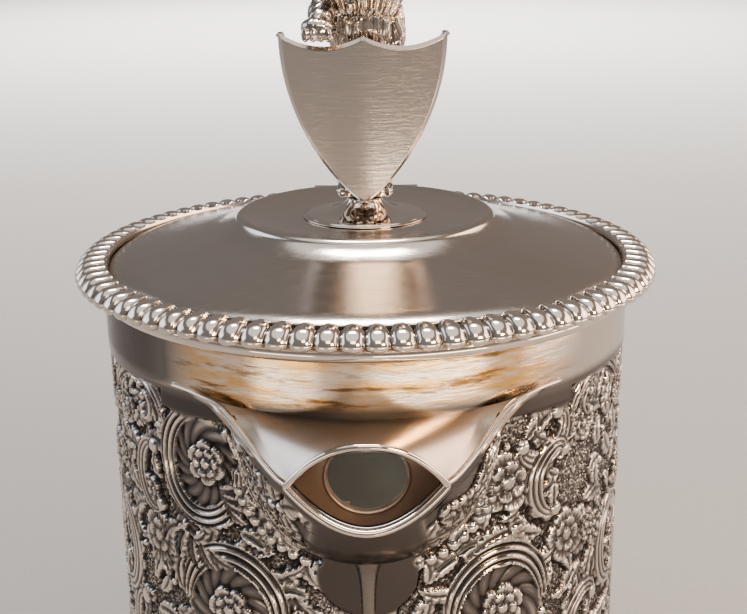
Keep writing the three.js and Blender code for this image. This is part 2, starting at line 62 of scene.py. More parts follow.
# ---- sizes taken from the frame ------------------------------------------------------------------------------------
wall_low, wall_high = node_box("body_wall")
RADIUS = (wall_high.x - wall_low.x) / 2
AXIS_Y = (wall_high.y + wall_low.y) / 2
TOP = wall_high.z
WALL_FOOT = wall_low.z - TOP
LID_RADIUS = node_box("lid_border")[1].x
DISC_Z = node_box("finial_plinth")[0].z - TOP - 0.3
SHEET = 0.9

# ---- sizes of the spout, as in the CAD -----------------------------------------------------------------------------
MOUTH_HALF_WIDTH = 9.5
MOUTH_CORNER = (45.4, -14.5)  # reach in front of the axis, height
ARCH_TOP = (47.4, -8.8)
LIP_LOW = (47.6, -19.5)
ARCH_FULLNESS = 2.3
LIP_FULLNESS = 1.9
HOOD_ROOT_Z = -7.2
HOOD_FAN = 1.2  # how strongly the hood spreads from the mouth to the drum
HOOD_SAG = 2.4  # how much lower the hood meets the drum in the middle than at the wings
WING_ANGLE = math.radians(41)
BEAK_HALF_WIDTH = 17
BEAK_ROOT_Z = -28.6

DETAIL = 0.22  # spacing of the chased surface's grid


# ---- meshes --------------------------------------------------------------------------------------------------------
def mesh_object(name, points, faces, smooth=True):
    """A mesh from an (n, 3) array in the jug's own millimetres and an (m, 4) or (m, 3) array of corners."""
    corners = faces.shape[1]
    placed = (points + np.array([0, AXIS_Y, TOP])) * MM
    mesh = bpy.data.meshes.new(name)
    mesh.vertices.add(len(placed))
    mesh.vertices.foreach_set("co", placed.astype(np.float32).ravel())
    mesh.loops.add(faces.size)
    mesh.loops.foreach_set("vertex_index", faces.astype(np.int32).ravel())
    mesh.polygons.add(len(faces))
    mesh.polygons.foreach_set("loop_start", np.arange(len(faces), dtype=np.int32) * corners)
    mesh.update(calc_edges=True)
    mesh.validate()
    if smooth:
        mesh.shade_smooth()
    made = bpy.data.objects.new(name, mesh)
    bpy.context.scene.collection.objects.link(made)
    return made


def grid_faces(rows, columns, wrap_rows=False, wrap_columns=False):
    """Corner numbers of the quads of a rows by columns grid."""
    i = np.arange(rows if wrap_rows else rows - 1)
    j = np.arange(columns if wrap_columns else columns - 1)
    i, j = np.meshgrid(i, j, indexing="ij")
    below, beside = (i + 1) % rows, (j + 1) % columns
    quads = (i * columns + j, i * columns + beside, below * columns + beside, below * columns + j)
    return np.stack(quads, -1).reshape(-1, 4)


def grid_object(name, points, wrap_rows=False, wrap_columns=False):
    rows, columns = points.shape[:2]
    faces = grid_faces(rows, columns, wrap_rows, wrap_columns)
    made = mesh_object(name, points.reshape(-1, 3), faces)
    face_out(made)
    return made


def face_out(piece):
    """Turns a closed mesh's faces outwards."""
    import bmesh

    mesh = bmesh.new()
    mesh.from_mesh(piece.data)
    bmesh.ops.recalc_face_normals(mesh, faces=mesh.faces)
    mesh.to_mesh(piece.data)
    mesh.free()


def add_modifier(piece, kind, **settings):
    modifier = piece.modifiers.new(kind.lower(), kind)
    for key, value in settings.items():
        setattr(modifier, key, value)
    return modifier


def smoothed_outline(outline, per_span):
    """Points along a Catmull-Rom curve through the outline's points."""
    p = np.array(outline, float)
    p = np.vstack([2 * p[0] - p[1], p, 2 * p[-1] - p[-2]])
    t = np.linspace(0, 1, per_span, endpoint=False)[:, None]
    spans = []
    for a, b, c, d in zip(p, p[1:], p[2:], p[3:]):
        bend = 2 * b + (c - a) * t + (2 * a - 5 * b + 4 * c - d) * t**2 + (3 * b - a - 3 * c + d) * t**3
        spans.append(bend / 2)
    return np.vstack(spans + [p[-2:-1]])


def around(radius_height, sides):
    """Turns an outline of (radius, height) rows about the jug's axis."""
    turn = np.linspace(0, TAU, sides, endpoint=False)
    r, z = np.asarray(radius_height, float).T
    x = np.outer(r, np.sin(turn))
    y = np.outer(r, -np.cos(turn))
    return np.stack([x, y, np.repeat(z[:, None], sides, 1)], -1)


def turned(name, outline, sides=180, closed=True):
    return grid_object(name, around(outline, sides), wrap_rows=closed, wrap_columns=True)


def tube(name, line, radii, sides=16, closed=False):
    """A bar along a line of points. radii is (n,) for round or (n, 2) for [across, up] half sizes."""
    line = np.asarray(line, float)
    radii = np.asarray(radii, float)
    if radii.ndim == 1:
        radii = np.stack([radii, radii], 1)
    if closed:
        along = np.roll(line, -1, 0) - np.roll(line, 1, 0)
    else:
        along = np.gradient(line, axis=0)
    along /= np.linalg.norm(along, axis=1, keepdims=True)
    hint = np.array([1.0, 0, 0]) if abs(along[:, 0]).max() < 0.9 else np.array([0, -1.0, 0])
    across = hint - along * (along @ hint)[:, None]
    across /= np.linalg.norm(across, axis=1, keepdims=True)
    up = np.cross(along, across)
    turn = np.linspace(0, TAU, sides, endpoint=False)
    ring = across[:, None] * np.cos(turn)[None, :, None] * radii[:, None, :1]
    ring = ring + up[:, None] * np.sin(turn)[None, :, None] * radii[:, None, 1:]
    return grid_object(name, line[:, None] + ring, wrap_rows=closed, wrap_columns=True)


def capped(piece):
    """Closes the open ends of a bar."""
    import bmesh

    mesh = bmesh.new()
    mesh.from_mesh(piece.data)
    bmesh.ops.holes_fill(mesh, edges=[e for e in mesh.edges if e.is_boundary], sides=0)
    bmesh.ops.recalc_face_normals(mesh, faces=mesh.faces)
    mesh.to_mesh(piece.data)
    mesh.free()
    return piece


def belongs(piece, body, slot, *nodes):
    """Gives a piece a slot's finish, hangs it on a body's empty so it moves with that body, and hides the CAD nodes it
    stands for.
    """
    kept = np.zeros(len(piece.data.polygons), np.int32)
    piece.data.polygons.foreach_get("material_index", kept)
    piece.data.materials.clear()
    piece.data.materials.append(MATERIALS[slot])
    piece.data.polygons.foreach_set("material_index", kept)
    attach(piece, body)
    if nodes:
        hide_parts(*nodes)
    return piece


def add_attribute(piece, name, values):
    layer = piece.data.attributes.new(name, "FLOAT", "POINT")
    layer.data.foreach_set("value", np.asarray(values, np.float32).ravel())


# ---- materials -----------------------------------------------------------------------------------------------------
class Nodes:
    """A short way to write a node tree."""

    def __init__(self, name):
        self.material = bpy.data.materials.new(name)
        self.material.use_nodes = True
        self.tree = self.material.node_tree
        self.shader = self.tree.nodes["Principled BSDF"]

    def add(self, kind, **settings):
        node = self.tree.nodes.new("ShaderNode" + kind)
        for key, value in settings.items():
            if key in node.inputs:
                node.inputs[key].default_value = value
            else:
                setattr(node, key, value)
        return node

    def link(self, output, target, name):
        self.tree.links.new(output, target.inputs[name])

    def stretched(self, scale, place=None):
        """Object coordinates scaled separately along each axis."""
        place = place or self.add("TexCoord")
        mapping = self.add("Mapping")
        mapping.inputs["Scale"].default_value = scale
        self.link(place.outputs["Object"], mapping, "Vector")
        return mapping.outputs["Vector"]

    def noise(self, vector, scale, detail=4.0, roughness=0.55):
        node = self.add("TexNoise", Scale=scale, Detail=detail, Roughness=roughness)
        self.link(vector, node, "Vector")
        return node.outputs["Fac"]

    def range(self, value, low, high, to_low, to_high):
        node = self.add("MapRange")
        for name, number in zip(("From Min", "From Max", "To Min", "To Max"), (low, high, to_low, to_high)):
            node.inputs[name].default_value = number
        self.link(value, node, "Value")
        return node.outputs["Result"]

    def maths(self, operation, a, b):
        node = self.add("Math", operation=operation)
        for k, value in enumerate((a, b)):
            if isinstance(value, (int, float)):
                node.inputs[k].default_value = value
            else:
                self.tree.links.new(value, node.inputs[k])
        return node.outputs["Value"]

    def blend(self, factor, first, second):
        """Mixes two colours, each a colour tuple or an output."""
        node = self.add("Mix", data_type="RGBA")
        self.tree.links.new(factor, node.inputs["Factor"])
        for name, value in (("A", first), ("B", second)):
            socket = [s for s in node.inputs if s.name == name and s.type == "RGBA"][0]
            if isinstance(value, tuple):
                socket.default_value = (*value, 1)
            else:
                self.tree.links.new(value, socket)
        return [s for s in node.outputs if s.type == "RGBA"][0]

    def bump(self, height, strength, distance):
        node = self.add("Bump", Strength=strength, Distance=distance)
        self.link(height, node, "Height")
        self.link(node.outputs["Normal"], self.shader, "Normal")


SILVER = (0.86, 0.80, 0.74)
FILM = (0.66, 0.57, 0.49)
# Patina for the relief's hollows and black for the deepest of them. The same two colours also give painted shade where
# a mesh asks for it.
PATINA_AND_SHADE = (0.25, 0.235, 0.23)
BLACK_PATINA_AND_SHADE = (0.075, 0.068, 0.066)
# Painted reflection: a warm gold, and a brown for streaks, standing in for warm light and dark surroundings mirrored on
# the front of the neck and on the hood.
PAINTED_GOLD_REFLECTION = (0.80, 0.54, 0.27)
PAINTED_BROWN_REFLECTION = (0.30, 0.17, 0.08)


def silver(name, roughness, scratches, grain, wear=(1, 26, 26), hollows=0.0, painted_warm_reflection=False, bright=1.0):
    """Sterling with hand wear: fine straight scratches, uneven polish, and black patina in the hollows of its relief.
    Where a mesh's attributes ask for it, painted warm reflection and painted shade are mixed into the colour as well.
    """
    nodes = Nodes(name)
    place = nodes.add("TexCoord")
    lines = nodes.noise(nodes.stretched(wear, place), 110.0, detail=6.0, roughness=0.7)
    cloud = nodes.noise(nodes.stretched((1, 1, 1), place), 40.0)
    metal = tuple(bright * c for c in SILVER)
    colour = nodes.blend(nodes.range(cloud, 0.4, 0.75, 0.0, 0.6), metal, FILM)
    polish = nodes.range(cloud, 0.3, 0.7, roughness * 0.8, roughness * 1.3)
    polish = nodes.maths("ADD", polish, nodes.range(lines, 0.5, 0.75, 0.0, scratches))
    height = nodes.maths("MULTIPLY", lines, grain)
    if painted_warm_reflection:
        # Painted reflection: gold bands and brown streaks where the mesh asks for them, standing in for warm light
        # mirrored in the metal, with a little more roughness and a banded bump.
        warm_reflection_share = nodes.add("Attribute", attribute_name="painted_warm_reflection").outputs["Fac"]
        bands = nodes.noise(nodes.stretched((1, 1, 6), place), 75.0, detail=6.0, roughness=0.7)
        spots = nodes.noise(nodes.stretched((1, 1, 7), place), 110.0, detail=6.0, roughness=0.7)
        gold = nodes.maths("MULTIPLY", warm_reflection_share, nodes.range(bands, 0.42, 0.58, 0.0, 1.0))
        brown = nodes.maths("MULTIPLY", warm_reflection_share, nodes.range(spots, 0.54, 0.64, 0.0, 0.9))
        colour = nodes.blend(gold, colour, PAINTED_GOLD_REFLECTION)
        colour = nodes.blend(brown, colour, PAINTED_BROWN_REFLECTION)
        polish = nodes.maths("ADD", polish, nodes.maths("MULTIPLY", warm_reflection_share, 0.09))
        height = nodes.maths("ADD", height, nodes.maths("MULTIPLY", bands, nodes.maths("MULTIPLY", warm_reflection_share, 6.0)))
    if hollows:
        # The attribute holds the relief's patina and, on some pieces, painted shade and painted dark reflection; both
        # darken the colour below.
        darkening = nodes.add("Attribute", attribute_name="patina_and_painted_shade").outputs["Fac"]
        colour = nodes.blend(nodes.range(darkening, 0.0, 0.42, 0.0, hollows), colour, PATINA_AND_SHADE)
        colour = nodes.blend(nodes.range(darkening, 0.5, 0.95, 0.0, 1.0), colour, BLACK_PATINA_AND_SHADE)
        polish = nodes.maths("ADD", polish, nodes.range(darkening, 0.4, 1.0, 0.0, 0.3))
        pits = nodes.noise(nodes.stretched((1, 1, 1), place), 1800.0, detail=2.0)
        height = nodes.maths("ADD", height, nodes.maths("MULTIPLY", pits, nodes.range(darkening, 0.2, 0.8, 0.0, 1.0)))
    nodes.tree.links.new(colour, nodes.shader.inputs["Base Color"])
    nodes.tree.links.new(polish, nodes.shader.inputs["Roughness"])
    nodes.shader.inputs["Metallic"].default_value = 1.0
    nodes.bump(height, 0.3, 0.00003)
    return nodes.material


def spout_inside():
    """The spout's unpolished inside: warm, browned and half matt."""
    nodes = Nodes("spout_inside")
    cloud = nodes.noise(nodes.stretched((1, 1, 1)), 120.0)
    colour = nodes.blend(nodes.range(cloud, 0.3, 0.7, 0.0, 1.0), (0.62, 0.52, 0.44), (0.45, 0.36, 0.31))
    nodes.tree.links.new(colour, nodes.shader.inputs["Base Color"])
    nodes.tree.links.new(nodes.range(cloud, 0.3, 0.7, 0.40, 0.55), nodes.shader.inputs["Roughness"])
    nodes.shader.inputs["Metallic"].default_value = 0.6
    nodes.bump(cloud, 0.2, 0.00005)
    return nodes.material


def insulator():
    """Old ivory-coloured collar: pale, faintly banded, browner where dirt gathers."""
    nodes = Nodes("insulator")
    bands = nodes.noise(nodes.stretched((40, 400, 400)), 1.4, detail=5.0)
    colour = nodes.blend(nodes.range(bands, 0.35, 0.7, 0.0, 1.0), (0.78, 0.70, 0.54), (0.62, 0.50, 0.33))
    nodes.tree.links.new(colour, nodes.shader.inputs["Base Color"])
    nodes.tree.links.new(nodes.range(bands, 0.3, 0.7, 0.28, 0.42), nodes.shader.inputs["Roughness"])
    nodes.shader.inputs["Subsurface Weight"].default_value = 0.15
    nodes.shader.inputs["Subsurface Radius"].default_value = (0.002, 0.0014, 0.0008)
    nodes.bump(bands, 0.2, 0.00004)
    return nodes.material


def floor_paper():
    nodes = Nodes("floor_paper")
    fibres = nodes.noise(nodes.stretched((1, 1, 1)), 900.0)
    place = nodes.add("TexCoord").outputs["Object"]
    away = nodes.add("VectorMath", operation="LENGTH")
    nodes.tree.links.new(place, away.inputs[0])
    near = nodes.blend(nodes.range(fibres, 0.3, 0.7, 0.0, 1.0), (0.47, 0.465, 0.46), (0.50, 0.495, 0.49))
    # Painted light and shade: the paper is darker near the jug and pale far off, evening out how the lamps fall off
    # with distance.
    colour = nodes.blend(nodes.range(away.outputs["Value"], 0.5, 2.2, 0.0, 1.0), near, (0.86, 0.86, 0.86))
    nodes.tree.links.new(colour, nodes.shader.inputs["Base Color"])
    nodes.shader.inputs["Roughness"].default_value = 0.9
    nodes.bump(fibres, 0.05, 0.0001)
    return nodes.material


SPOUT_INSIDE = spout_inside()
SATIN = silver("satin_silver", 0.28, 0.05, 0.3, painted_warm_reflection=True, bright=0.8)
MATERIALS = {
    "polished_silver": silver("polished_silver", 0.05, 0.04, 0.15, painted_warm_reflection=True),
    "chased_silver": silver("chased_silver", 0.09, 0.03, 0.1, hollows=1.0, painted_warm_reflection=True),
    "brushed_silver": silver("brushed_silver", 0.12, 0.12, 1.9, bright=0.86),
    "cast_silver": silver("cast_silver", 0.12, 0.04, 0.1, hollows=0.55),
    "plain_silver": silver("plain_silver", 0.2, 0.08, 0.3),
    "insulator": insulator(),
}


# ---- chased ornament -----------------------------------------------------------------------------------------------
def ease(value, low, high):
    """0 below low, 1 above high, smooth between."""
    t = np.clip((value - low) / (high - low), 0, 1)
    return t * t * (3 - 2 * t)


def blurred(field, reach):
    """A field averaged twice over a square window; it wraps round along its last axis."""
    for _ in range(2):
        for axis in (0, 1):
            width = 2 * reach + 1
            mode = "wrap" if axis == 1 else "edge"
            pad = [(reach + 1, reach) if k == axis else (0, 0) for k in (0, 1)]
            total = np.cumsum(np.pad(field, pad, mode=mode), axis=axis)
            ahead = np.take(total, range(width, total.shape[axis]), axis=axis)
            behind = np.take(total, range(total.shape[axis] - width), axis=axis)
            field = (ahead - behind) / width
    return field


def along_path(u, z, path):
    """Signed distance of each point from a path, and how far along the path its nearest point lies, 0 to 1."""
    best = np.full(u.shape, 1e9)
    share = np.zeros(u.shape)
    side = np.ones(u.shape)
    for i, (a, b) in enumerate(zip(path, path[1:])):
        step = b - a
        du, dz = u - a[0], z - a[1]
        s = np.clip((du * step[0] + dz * step[1]) / (step @ step), 0, 1)
        gap = (du - s * step[0]) ** 2 + (dz - s * step[1]) ** 2
        nearer = gap < best
        best = np.where(nearer, gap, best)
        share = np.where(nearer, (i + s) / (len(path) - 1), share)
        side = np.where(nearer, np.sign(step[0] * dz - step[1] * du), side)
    return np.sqrt(best) * side, share


def curl_path(length, turn, curl, heading=0.0, steps=40):
    """A path whose bend grows towards both ends: a C-scroll when turn and curl agree."""
    s = np.linspace(-1, 1, steps)
    angle = heading + turn * s + curl * s**5
    step = length / (steps - 1)
    walk = np.stack([np.cos(angle), np.sin(angle)], 1) * step
    path = np.cumsum(walk, 0)
    return path - (path[0] + path[-1]) / 2


def vine_path(length, bend, heading=0.0, steps=14):
    """A path that bends evenly by the given angle."""
    angle = heading + bend * np.linspace(-0.5, 0.5, steps)
    walk = np.stack([np.cos(angle), np.sin(angle)], 1) * length / (steps - 1)
    path = np.cumsum(walk, 0)
    return path - path[0]


def scroll(length, width, turn, curl, heading, ridges=3, frill=0.0):
    """A fluted C-scroll with a bead in each curl; frill adds leafy lobes along its outside."""
    path = curl_path(length, turn, curl, heading)
    lobes = max(3, int(length / 2.2))

    def motif(u, z):
        gap, share = along_path(u, z, path)
        swell = width * (0.35 + 0.65 * np.sin(np.pi * share) ** 0.7)
        leafy = 1 + frill * np.abs(np.sin(np.pi * lobes * share)) * (gap * np.sign(turn) < 0)
        across = gap / (swell * leafy)
        mask = ease(1 - np.abs(across), 0, 0.25)
        flute = 0.5 + 0.5 * np.cos(TAU * ridges / 2 * gap / swell)
        height = 0.34 + 0.3 * flute + 0.1 * (1 - across**2)
        for end in (path[0], path[-1]):
            bead = np.hypot(u - end[0], z - end[1]) / (width * 0.75)
            dome = np.sqrt(np.clip(1 - bead**2, 0, 1))
            height = np.where(bead < 1, 0.3 + 0.55 * dome, height)
            mask = np.maximum(mask, ease(1 - bead, 0, 0.2))
        return height, mask

    return motif, length / 2 + 2 * width


def leaf(length, width, heading, bend=0.8, lobes=5, high=0.62):
    """An acanthus leaf: notched edge, a groove down the middle and slanting veins."""
    path = vine_path(length, bend, heading)

    def motif(u, z):
        gap, share = along_path(u, z, path)
        notch = 0.78 + 0.22 * np.abs(np.sin(np.pi * lobes * share))
        half = width * np.sin(np.pi * np.clip(share, 0.02, 0.98) ** 0.75) ** 0.8 * notch
        across = np.abs(gap) / half
        mask = ease(1 - across, 0, 0.18)
        veins = 0.5 + 0.5 * np.cos(TAU * (lobes * share - 0.9 * across))
        spine = np.exp(-((gap / (0.12 * width + 0.08)) ** 2))
        dome = np.sqrt(np.clip(1 - across**2, 0, 1))
        tilt = 0.25 * np.sign(bend + 1e-6) * gap / half
        height = high * (0.3 + 0.4 * dome + 0.22 * veins * across + tilt) - 0.3 * spine * high
        return height, mask

    return motif, length + width


def flower(radius, petals, heading, rings=2, high=0.7):
    """A full flower: rings of cupped petals round a dimpled centre."""

    def motif(u, z):
        r = np.hypot(u, z) / radius
        turn = np.arctan2(z, u) + heading
        height = np.zeros(u.shape)
        mask = np.zeros(u.shape)
        for ring in range(rings):
            size = 1 - 0.36 * ring
            wave = np.abs(np.cos(petals / 2 * turn + ring * np.pi / 2))
            edge = size * (0.78 + 0.22 * wave**0.6)
            here = ease(edge - r, 0, 0.08)
            t = np.clip(r / edge, 0, 1)
            cup = high * (0.35 + 0.22 * ring + 0.6 * t**2) * (1 - 0.5 * (1 - wave) ** 3)
            fine = 0.07 * np.cos(petals * 5 * turn) * t
            height = height * (1 - here) + (cup + fine) * here
            mask = np.maximum(mask, here)
        heart = r / 0.26
        dome = np.sqrt(np.clip(1 - heart**2, 0, 1))
        seeds = 0.08 * np.cos(u * 9) * np.cos(z * 9)
        height = np.where(heart < 1, high * (0.45 + 0.55 * dome) + seeds, height)
        return height, mask

    return motif, radius * 1.05


def shell(radius, ribs, heading, spread=2.4, high=0.65):
    """A fan of ribs with a scalloped edge."""

    def motif(u, z):
        r = np.hypot(u, z) / radius
        turn = np.angle(np.exp(1j * (np.arctan2(z, u) - heading))) / (spread / 2)
        rib = np.abs(np.cos(np.pi * ribs / 2 * turn))
        edge = 0.86 + 0.14 * rib
        mask = ease(edge - r, 0, 0.08) * ease(1 - np.abs(turn), 0, 0.06)
        height = high * (0.3 + 0.45 * rib + 0.45 * r**2)
        return height, mask

    return motif, radius


def bead(radius, high=0.5):
    def motif(u, z):
        r = np.hypot(u, z) / radius
        dome = np.sqrt(np.clip(1 - r**2, 0, 1))
        return 0.15 + high * dome, ease(1 - r, 0, 0.2)

    return motif, radius


def oval_frame(half_width, half_height, band, start, sweep, ridges=3, sunk=True):
    """Part of an oval made of parallel ridges, round a sunk field of fine scallops where one is wanted."""
    turn = np.linspace(start, start + sweep, 48)
    path = np.stack([half_width * np.cos(turn), half_height * np.sin(turn)], 1)

    def motif(u, z):
        gap, share = along_path(u, z, path)
        taper = band * (0.3 + 0.7 * np.sin(np.pi * np.clip(share, 0.03, 0.97)) ** 0.5)
        across = gap / taper
        mask = ease(1 - np.abs(across), 0, 0.2)
        flute = 0.5 + 0.5 * np.cos(TAU * ridges / 2 * across + np.pi)
        height = 0.25 + 0.5 * flute
        reach = np.hypot(u / half_width, z / half_height)
        scallop = np.abs(np.sin(7 * np.arctan2(z, u) + 9 * reach))
        inside = ease(1 - reach, 0, 0.1) if sunk else 0
        height = np.where(np.abs(across) < 1, height, 0.05 + 0.28 * scallop * reach)
        return height, np.maximum(mask, inside)

    return motif, max(half_width, half_height) + band


class Chasing:
    """A height field over the drum: u runs round it in millimetres from the front, z is the height."""

    def __init__(self, low, high, spacing, girth=TAU * RADIUS):
        self.girth = girth
        self.columns = round(self.girth / spacing)
        self.rows = round((high - low) / spacing)
        self.u = (np.arange(self.columns) / self.columns - 0.5) * self.girth
        self.z = np.linspace(high, low, self.rows)
        self.height = np.zeros((self.rows, self.columns))
        self.cover = np.zeros_like(self.height)

    def lay(self, u, z, made, strength=1.0):
        """Puts a motif at a place, over whatever is there already."""
        motif, reach = made
        step = self.girth / self.columns
        n = int(reach / step) + 2
        middle = int(round((u / self.girth + 0.5) * self.columns))
        columns = np.arange(middle - n, middle + n + 1)
        rows = np.where(np.abs(self.z - z) <= reach + step)[0]
        if not len(rows):
            return
        du = (columns / self.columns - 0.5) * self.girth - u
        du, dz = np.meshgrid(du, self.z[rows] - z)
        height, mask = motif(du, dz)
        window = np.ix_(rows, columns % self.columns)
        self.height[window] = self.height[window] * (1 - mask) + strength * height * mask
        self.cover[window] = np.maximum(self.cover[window], mask)

    def covered(self, u, z):
        column = int((u / self.girth + 0.5) * self.columns) % self.columns
        row = int(np.clip(np.searchsorted(-self.z, -z), 0, self.rows - 1))
        return self.cover[row, column]


ORNAMENT_TOP = -8.6
ORNAMENT_FOOT = -80.0
ARCHES = 10


def plain_zones(field):
    """1 where the drum stays plain: the neck, the foot, under the spout's root and beside the rib below it."""
    u, z = np.meshgrid(field.u, field.z)
    arch = np.abs(((u - 38) / (field.girth - 76) * (ARCHES - 1)) % 1 - 0.5) * 2
    dip = np.where(np.abs(u) < 30, 2.2, 0.0)
    neck = ease(z, ORNAMENT_TOP - 0.9 - dip - 1.2 * (1 - arch) ** 2, ORNAMENT_TOP - 0.5 - dip)
    foot = ease(-z, -ORNAMENT_FOOT, -ORNAMENT_FOOT + 0.6)
    spout = ease(1 - np.hypot(u / (BEAK_HALF_WIDTH - 1.5), (z + 17.5) / 12.5), 0, 0.04)
    reserve = ease(1 - np.hypot(u / 7.0, (z + 31.2) / 6.0), 0, 0.12)
    return np.maximum.reduce([neck, foot, spout, reserve])


def top_border(field):
    """Arched C-scrolls side by side under the neck, each over curling leaves, with a bud between neighbours."""
    spacing = (field.girth - 76) / (ARCHES - 1)
    for k in range(ARCHES):
        u = 38 + k * spacing
        field.lay(u, -14.4, oval_frame(7.4, 5.8, 1.5, 0.1, np.pi - 0.2, sunk=False))
        for side in (-1, 1):
            field.lay(u + side * 2.6, -13.2, scroll(6.5, 0.9, side * 1.6, side * 1.5, np.pi / 2, ridges=2))
            field.lay(u + side * 7.6, -15.4, flower(1.8, 6, 0.3, 2, 0.9))
        if k < ARCHES - 1:
            field.lay(u + spacing / 2, -11.0, leaf(5.2, 1.7, -np.pi / 2, 0.0))


def front_left(field):
    """The oval cartouche beside the spout and the scroll under it."""
    field.lay(-23.6, -18.6, oval_frame(6.2, 7.4, 1.7, 1.4, 4.9))
    field.lay(-22.4, -18.0, flower(3.3, 6, 0.4, 3, 0.95))
    for k in range(4):
        field.lay(-20.4 + 0.5 * k, -21.2 - 0.9 * k, leaf(3.4, 0.9, 0.2 - 0.25 * k, 0.9))
    field.lay(-19.4, -38.6, oval_frame(7.6, 8.2, 1.9, -0.5, 3.6))
    field.lay(-19.6, -38.6, flower(3.6, 6, 1.1, 3, 0.95))
    field.lay(-32.6, -22.6, scroll(15, 1.4, 1.3, 1.2, -1.45, frill=0.5))
    field.lay(-33.0, -31.6, flower(4.0, 5, 0.2))
    for k in range(5):
        field.lay(-28.6 + 1.5 * k, -28.6 - 0.5 * k, leaf(4.6, 1.2, -2.4 + 0.5 * k, 1.0))


def front_right(field):
    """The full-blown flower beside the spout, its leaves and the scrolls round it."""
    field.lay(19.2, -20.4, flower(4.7, 6, 0.2, rings=3, high=0.85))
    field.lay(24.6, -14.4, scroll(14, 1.5, 1.4, 1.3, 0.5, frill=0.5))
    field.lay(28.6, -22.4, scroll(16, 1.5, -1.4, -1.2, 1.4, frill=0.5))
    for k in range(6):
        heading = -0.3 - 0.5 * k
        field.lay(19.6, -27.4, leaf(6.2, 1.7, heading, 0.6, high=0.8))
    field.lay(30.4, -31.2, flower(4.2, 5, 0.7))
    field.lay(18.4, -38.4, oval_frame(7.4, 8.0, 1.8, 0.0, 3.4))
    field.lay(18.6, -38.4, flower(3.6, 6, 0.7, 3, 0.95))


def spout_beads(field):
    """Rows of beads that follow the spout's root down both sides."""
    for side in (-1, 1):
        for k in range(11):
            turn = -0.25 - 1.05 * k / 10
            u = side * (BEAK_HALF_WIDTH + 0.9) * math.cos(turn)
            field.lay(u, -17.5 + 13.4 * math.sin(turn), bead(0.85, 0.55))


def side_cartouches(field):
    """Large open cartouches on both flanks and one at the back under the handle, framed by paired scrolls."""
    for middle in (-62, 62, 119.4):
        field.lay(middle, -45, oval_frame(10.5, 13.5, 2.2, 0.5, 5.2))
        field.lay(middle, -45, shell(7.6, 9, np.pi / 2, 4.2))
        for side in (-1, 1):
            field.lay(middle + side * 14.6, -38, scroll(22, 1.8, side * 1.5, side * 1.4, np.pi / 2, frill=0.5))
            field.lay(middle + side * 15.4, -56, scroll(19, 1.6, side * 1.5, side * 1.4, -np.pi / 2, frill=0.5))
            field.lay(middle + side * 9.5, -66, flower(4.4, 6, side * 0.4))
        field.lay(middle, -66, shell(6.0, 7, -np.pi / 2))


def lower_front(field):
    """The ornament below the photographed part: scrolls rising from the foot to the rib, with flowers between."""
    for side in (-1, 1):
        field.lay(side * 9.5, -50, scroll(24, 1.9, side * 1.5, side * 1.6, np.pi / 2, frill=0.6))
        field.lay(side * 12.5, -68, scroll(22, 1.8, -side * 1.5, -side * 1.4, 0.4 * side, frill=0.6))
        field.lay(side * 24.5, -52, flower(5.2, 6, side * 0.5, rings=3, high=0.85))
        field.lay(side * 36.5, -48, scroll(20, 1.7, -side * 1.4, -side * 1.3, 1.2 * side, frill=0.5))
        field.lay(side * 34.5, -66, flower(4.6, 5, side * 0.9))
        for k in range(5):
            field.lay(side * 25, -59, leaf(6.6, 1.7, -np.pi / 2 + side * (0.6 * k - 1.2), 0.5, high=0.8))
    field.lay(0, -72, shell(7.2, 9, np.pi / 2, 2.8))


def foliage(field, rng):
    """Overlapping curled leaves, buds and beads all over the drum, under the larger ornament."""
    for _ in range(1500):
        u = rng.uniform(-field.girth / 2, field.girth / 2)
        z = rng.uniform(ORNAMENT_FOOT, ORNAMENT_TOP)
        size = rng.uniform(3.2, 6.6)
        bend = rng.choice((-1, 1)) * rng.uniform(0.6, 2.2)
        lobes = max(3, round(size / 1.05))
        high = rng.uniform(0.5, 0.95)
        field.lay(u, z, leaf(size, size * 0.28, rng.uniform(0, TAU), bend, lobes, high))
    for _ in range(260):
        u = rng.uniform(-field.girth / 2, field.girth / 2)
        z = rng.uniform(ORNAMENT_FOOT, ORNAMENT_TOP)
        field.lay(u, z, bead(rng.uniform(0.4, 0.75), 0.65))
    for _ in range(70):
        u = rng.uniform(-field.girth / 2, field.girth / 2)
        z = rng.uniform(ORNAMENT_FOOT, ORNAMENT_TOP - 4)
        field.lay(u, z, flower(rng.uniform(2.4, 3.4), int(rng.integers(5, 8)), rng.uniform(0, TAU), 3, 0.9))


def foot_border(field):
    """A band of small leaves along the ornament's lower edge."""
    count = 46
    for k in range(count):
        u = (k / count - 0.5) * field.girth
        field.lay(u, ORNAMENT_FOOT + 0.2, leaf(5.2, 1.9, np.pi / 2, 0.0, lobes=3))


def chased_field():
    field = Chasing(WALL_FOOT, 0, DETAIL)
    rng = np.random.default_rng(7)
    foliage(field, rng)
    foot_border(field)
    lower_front(field)
    side_cartouches(field)
    top_border(field)
    front_right(field)
    front_left(field)
    spout_beads(field)
    plain = plain_zones(field)
    ground = (1 - field.cover) * (1 - plain)
    matting = rng.standard_normal(field.height.shape)
    relief = field.height * (1 - plain) + 0.10 * matting * ground
    return field, relief, plain


def hollows(relief, plain, spacing):
    """How deep each point lies below what is round it, 0 to 1, close by and further off."""
    near = blurred(relief, max(1, round(0.35 / spacing))) - relief
    far = blurred(relief, round(1.6 / spacing)) - relief
    return np.clip(0.42 + 2.6 * near + 1.0 * far, 0, 1) * (1 - plain)


# ---- drum ----------------------------------------------------------------------------------------------------------
WINDOW = (5.4, 5.0, -17.2)  # half width, half height and middle of the way through into the spout
RELIEF = 0.9  # millimetres for a motif of full height
SUNK = 0.85  # how far the ornament's ground lies under the plain neck


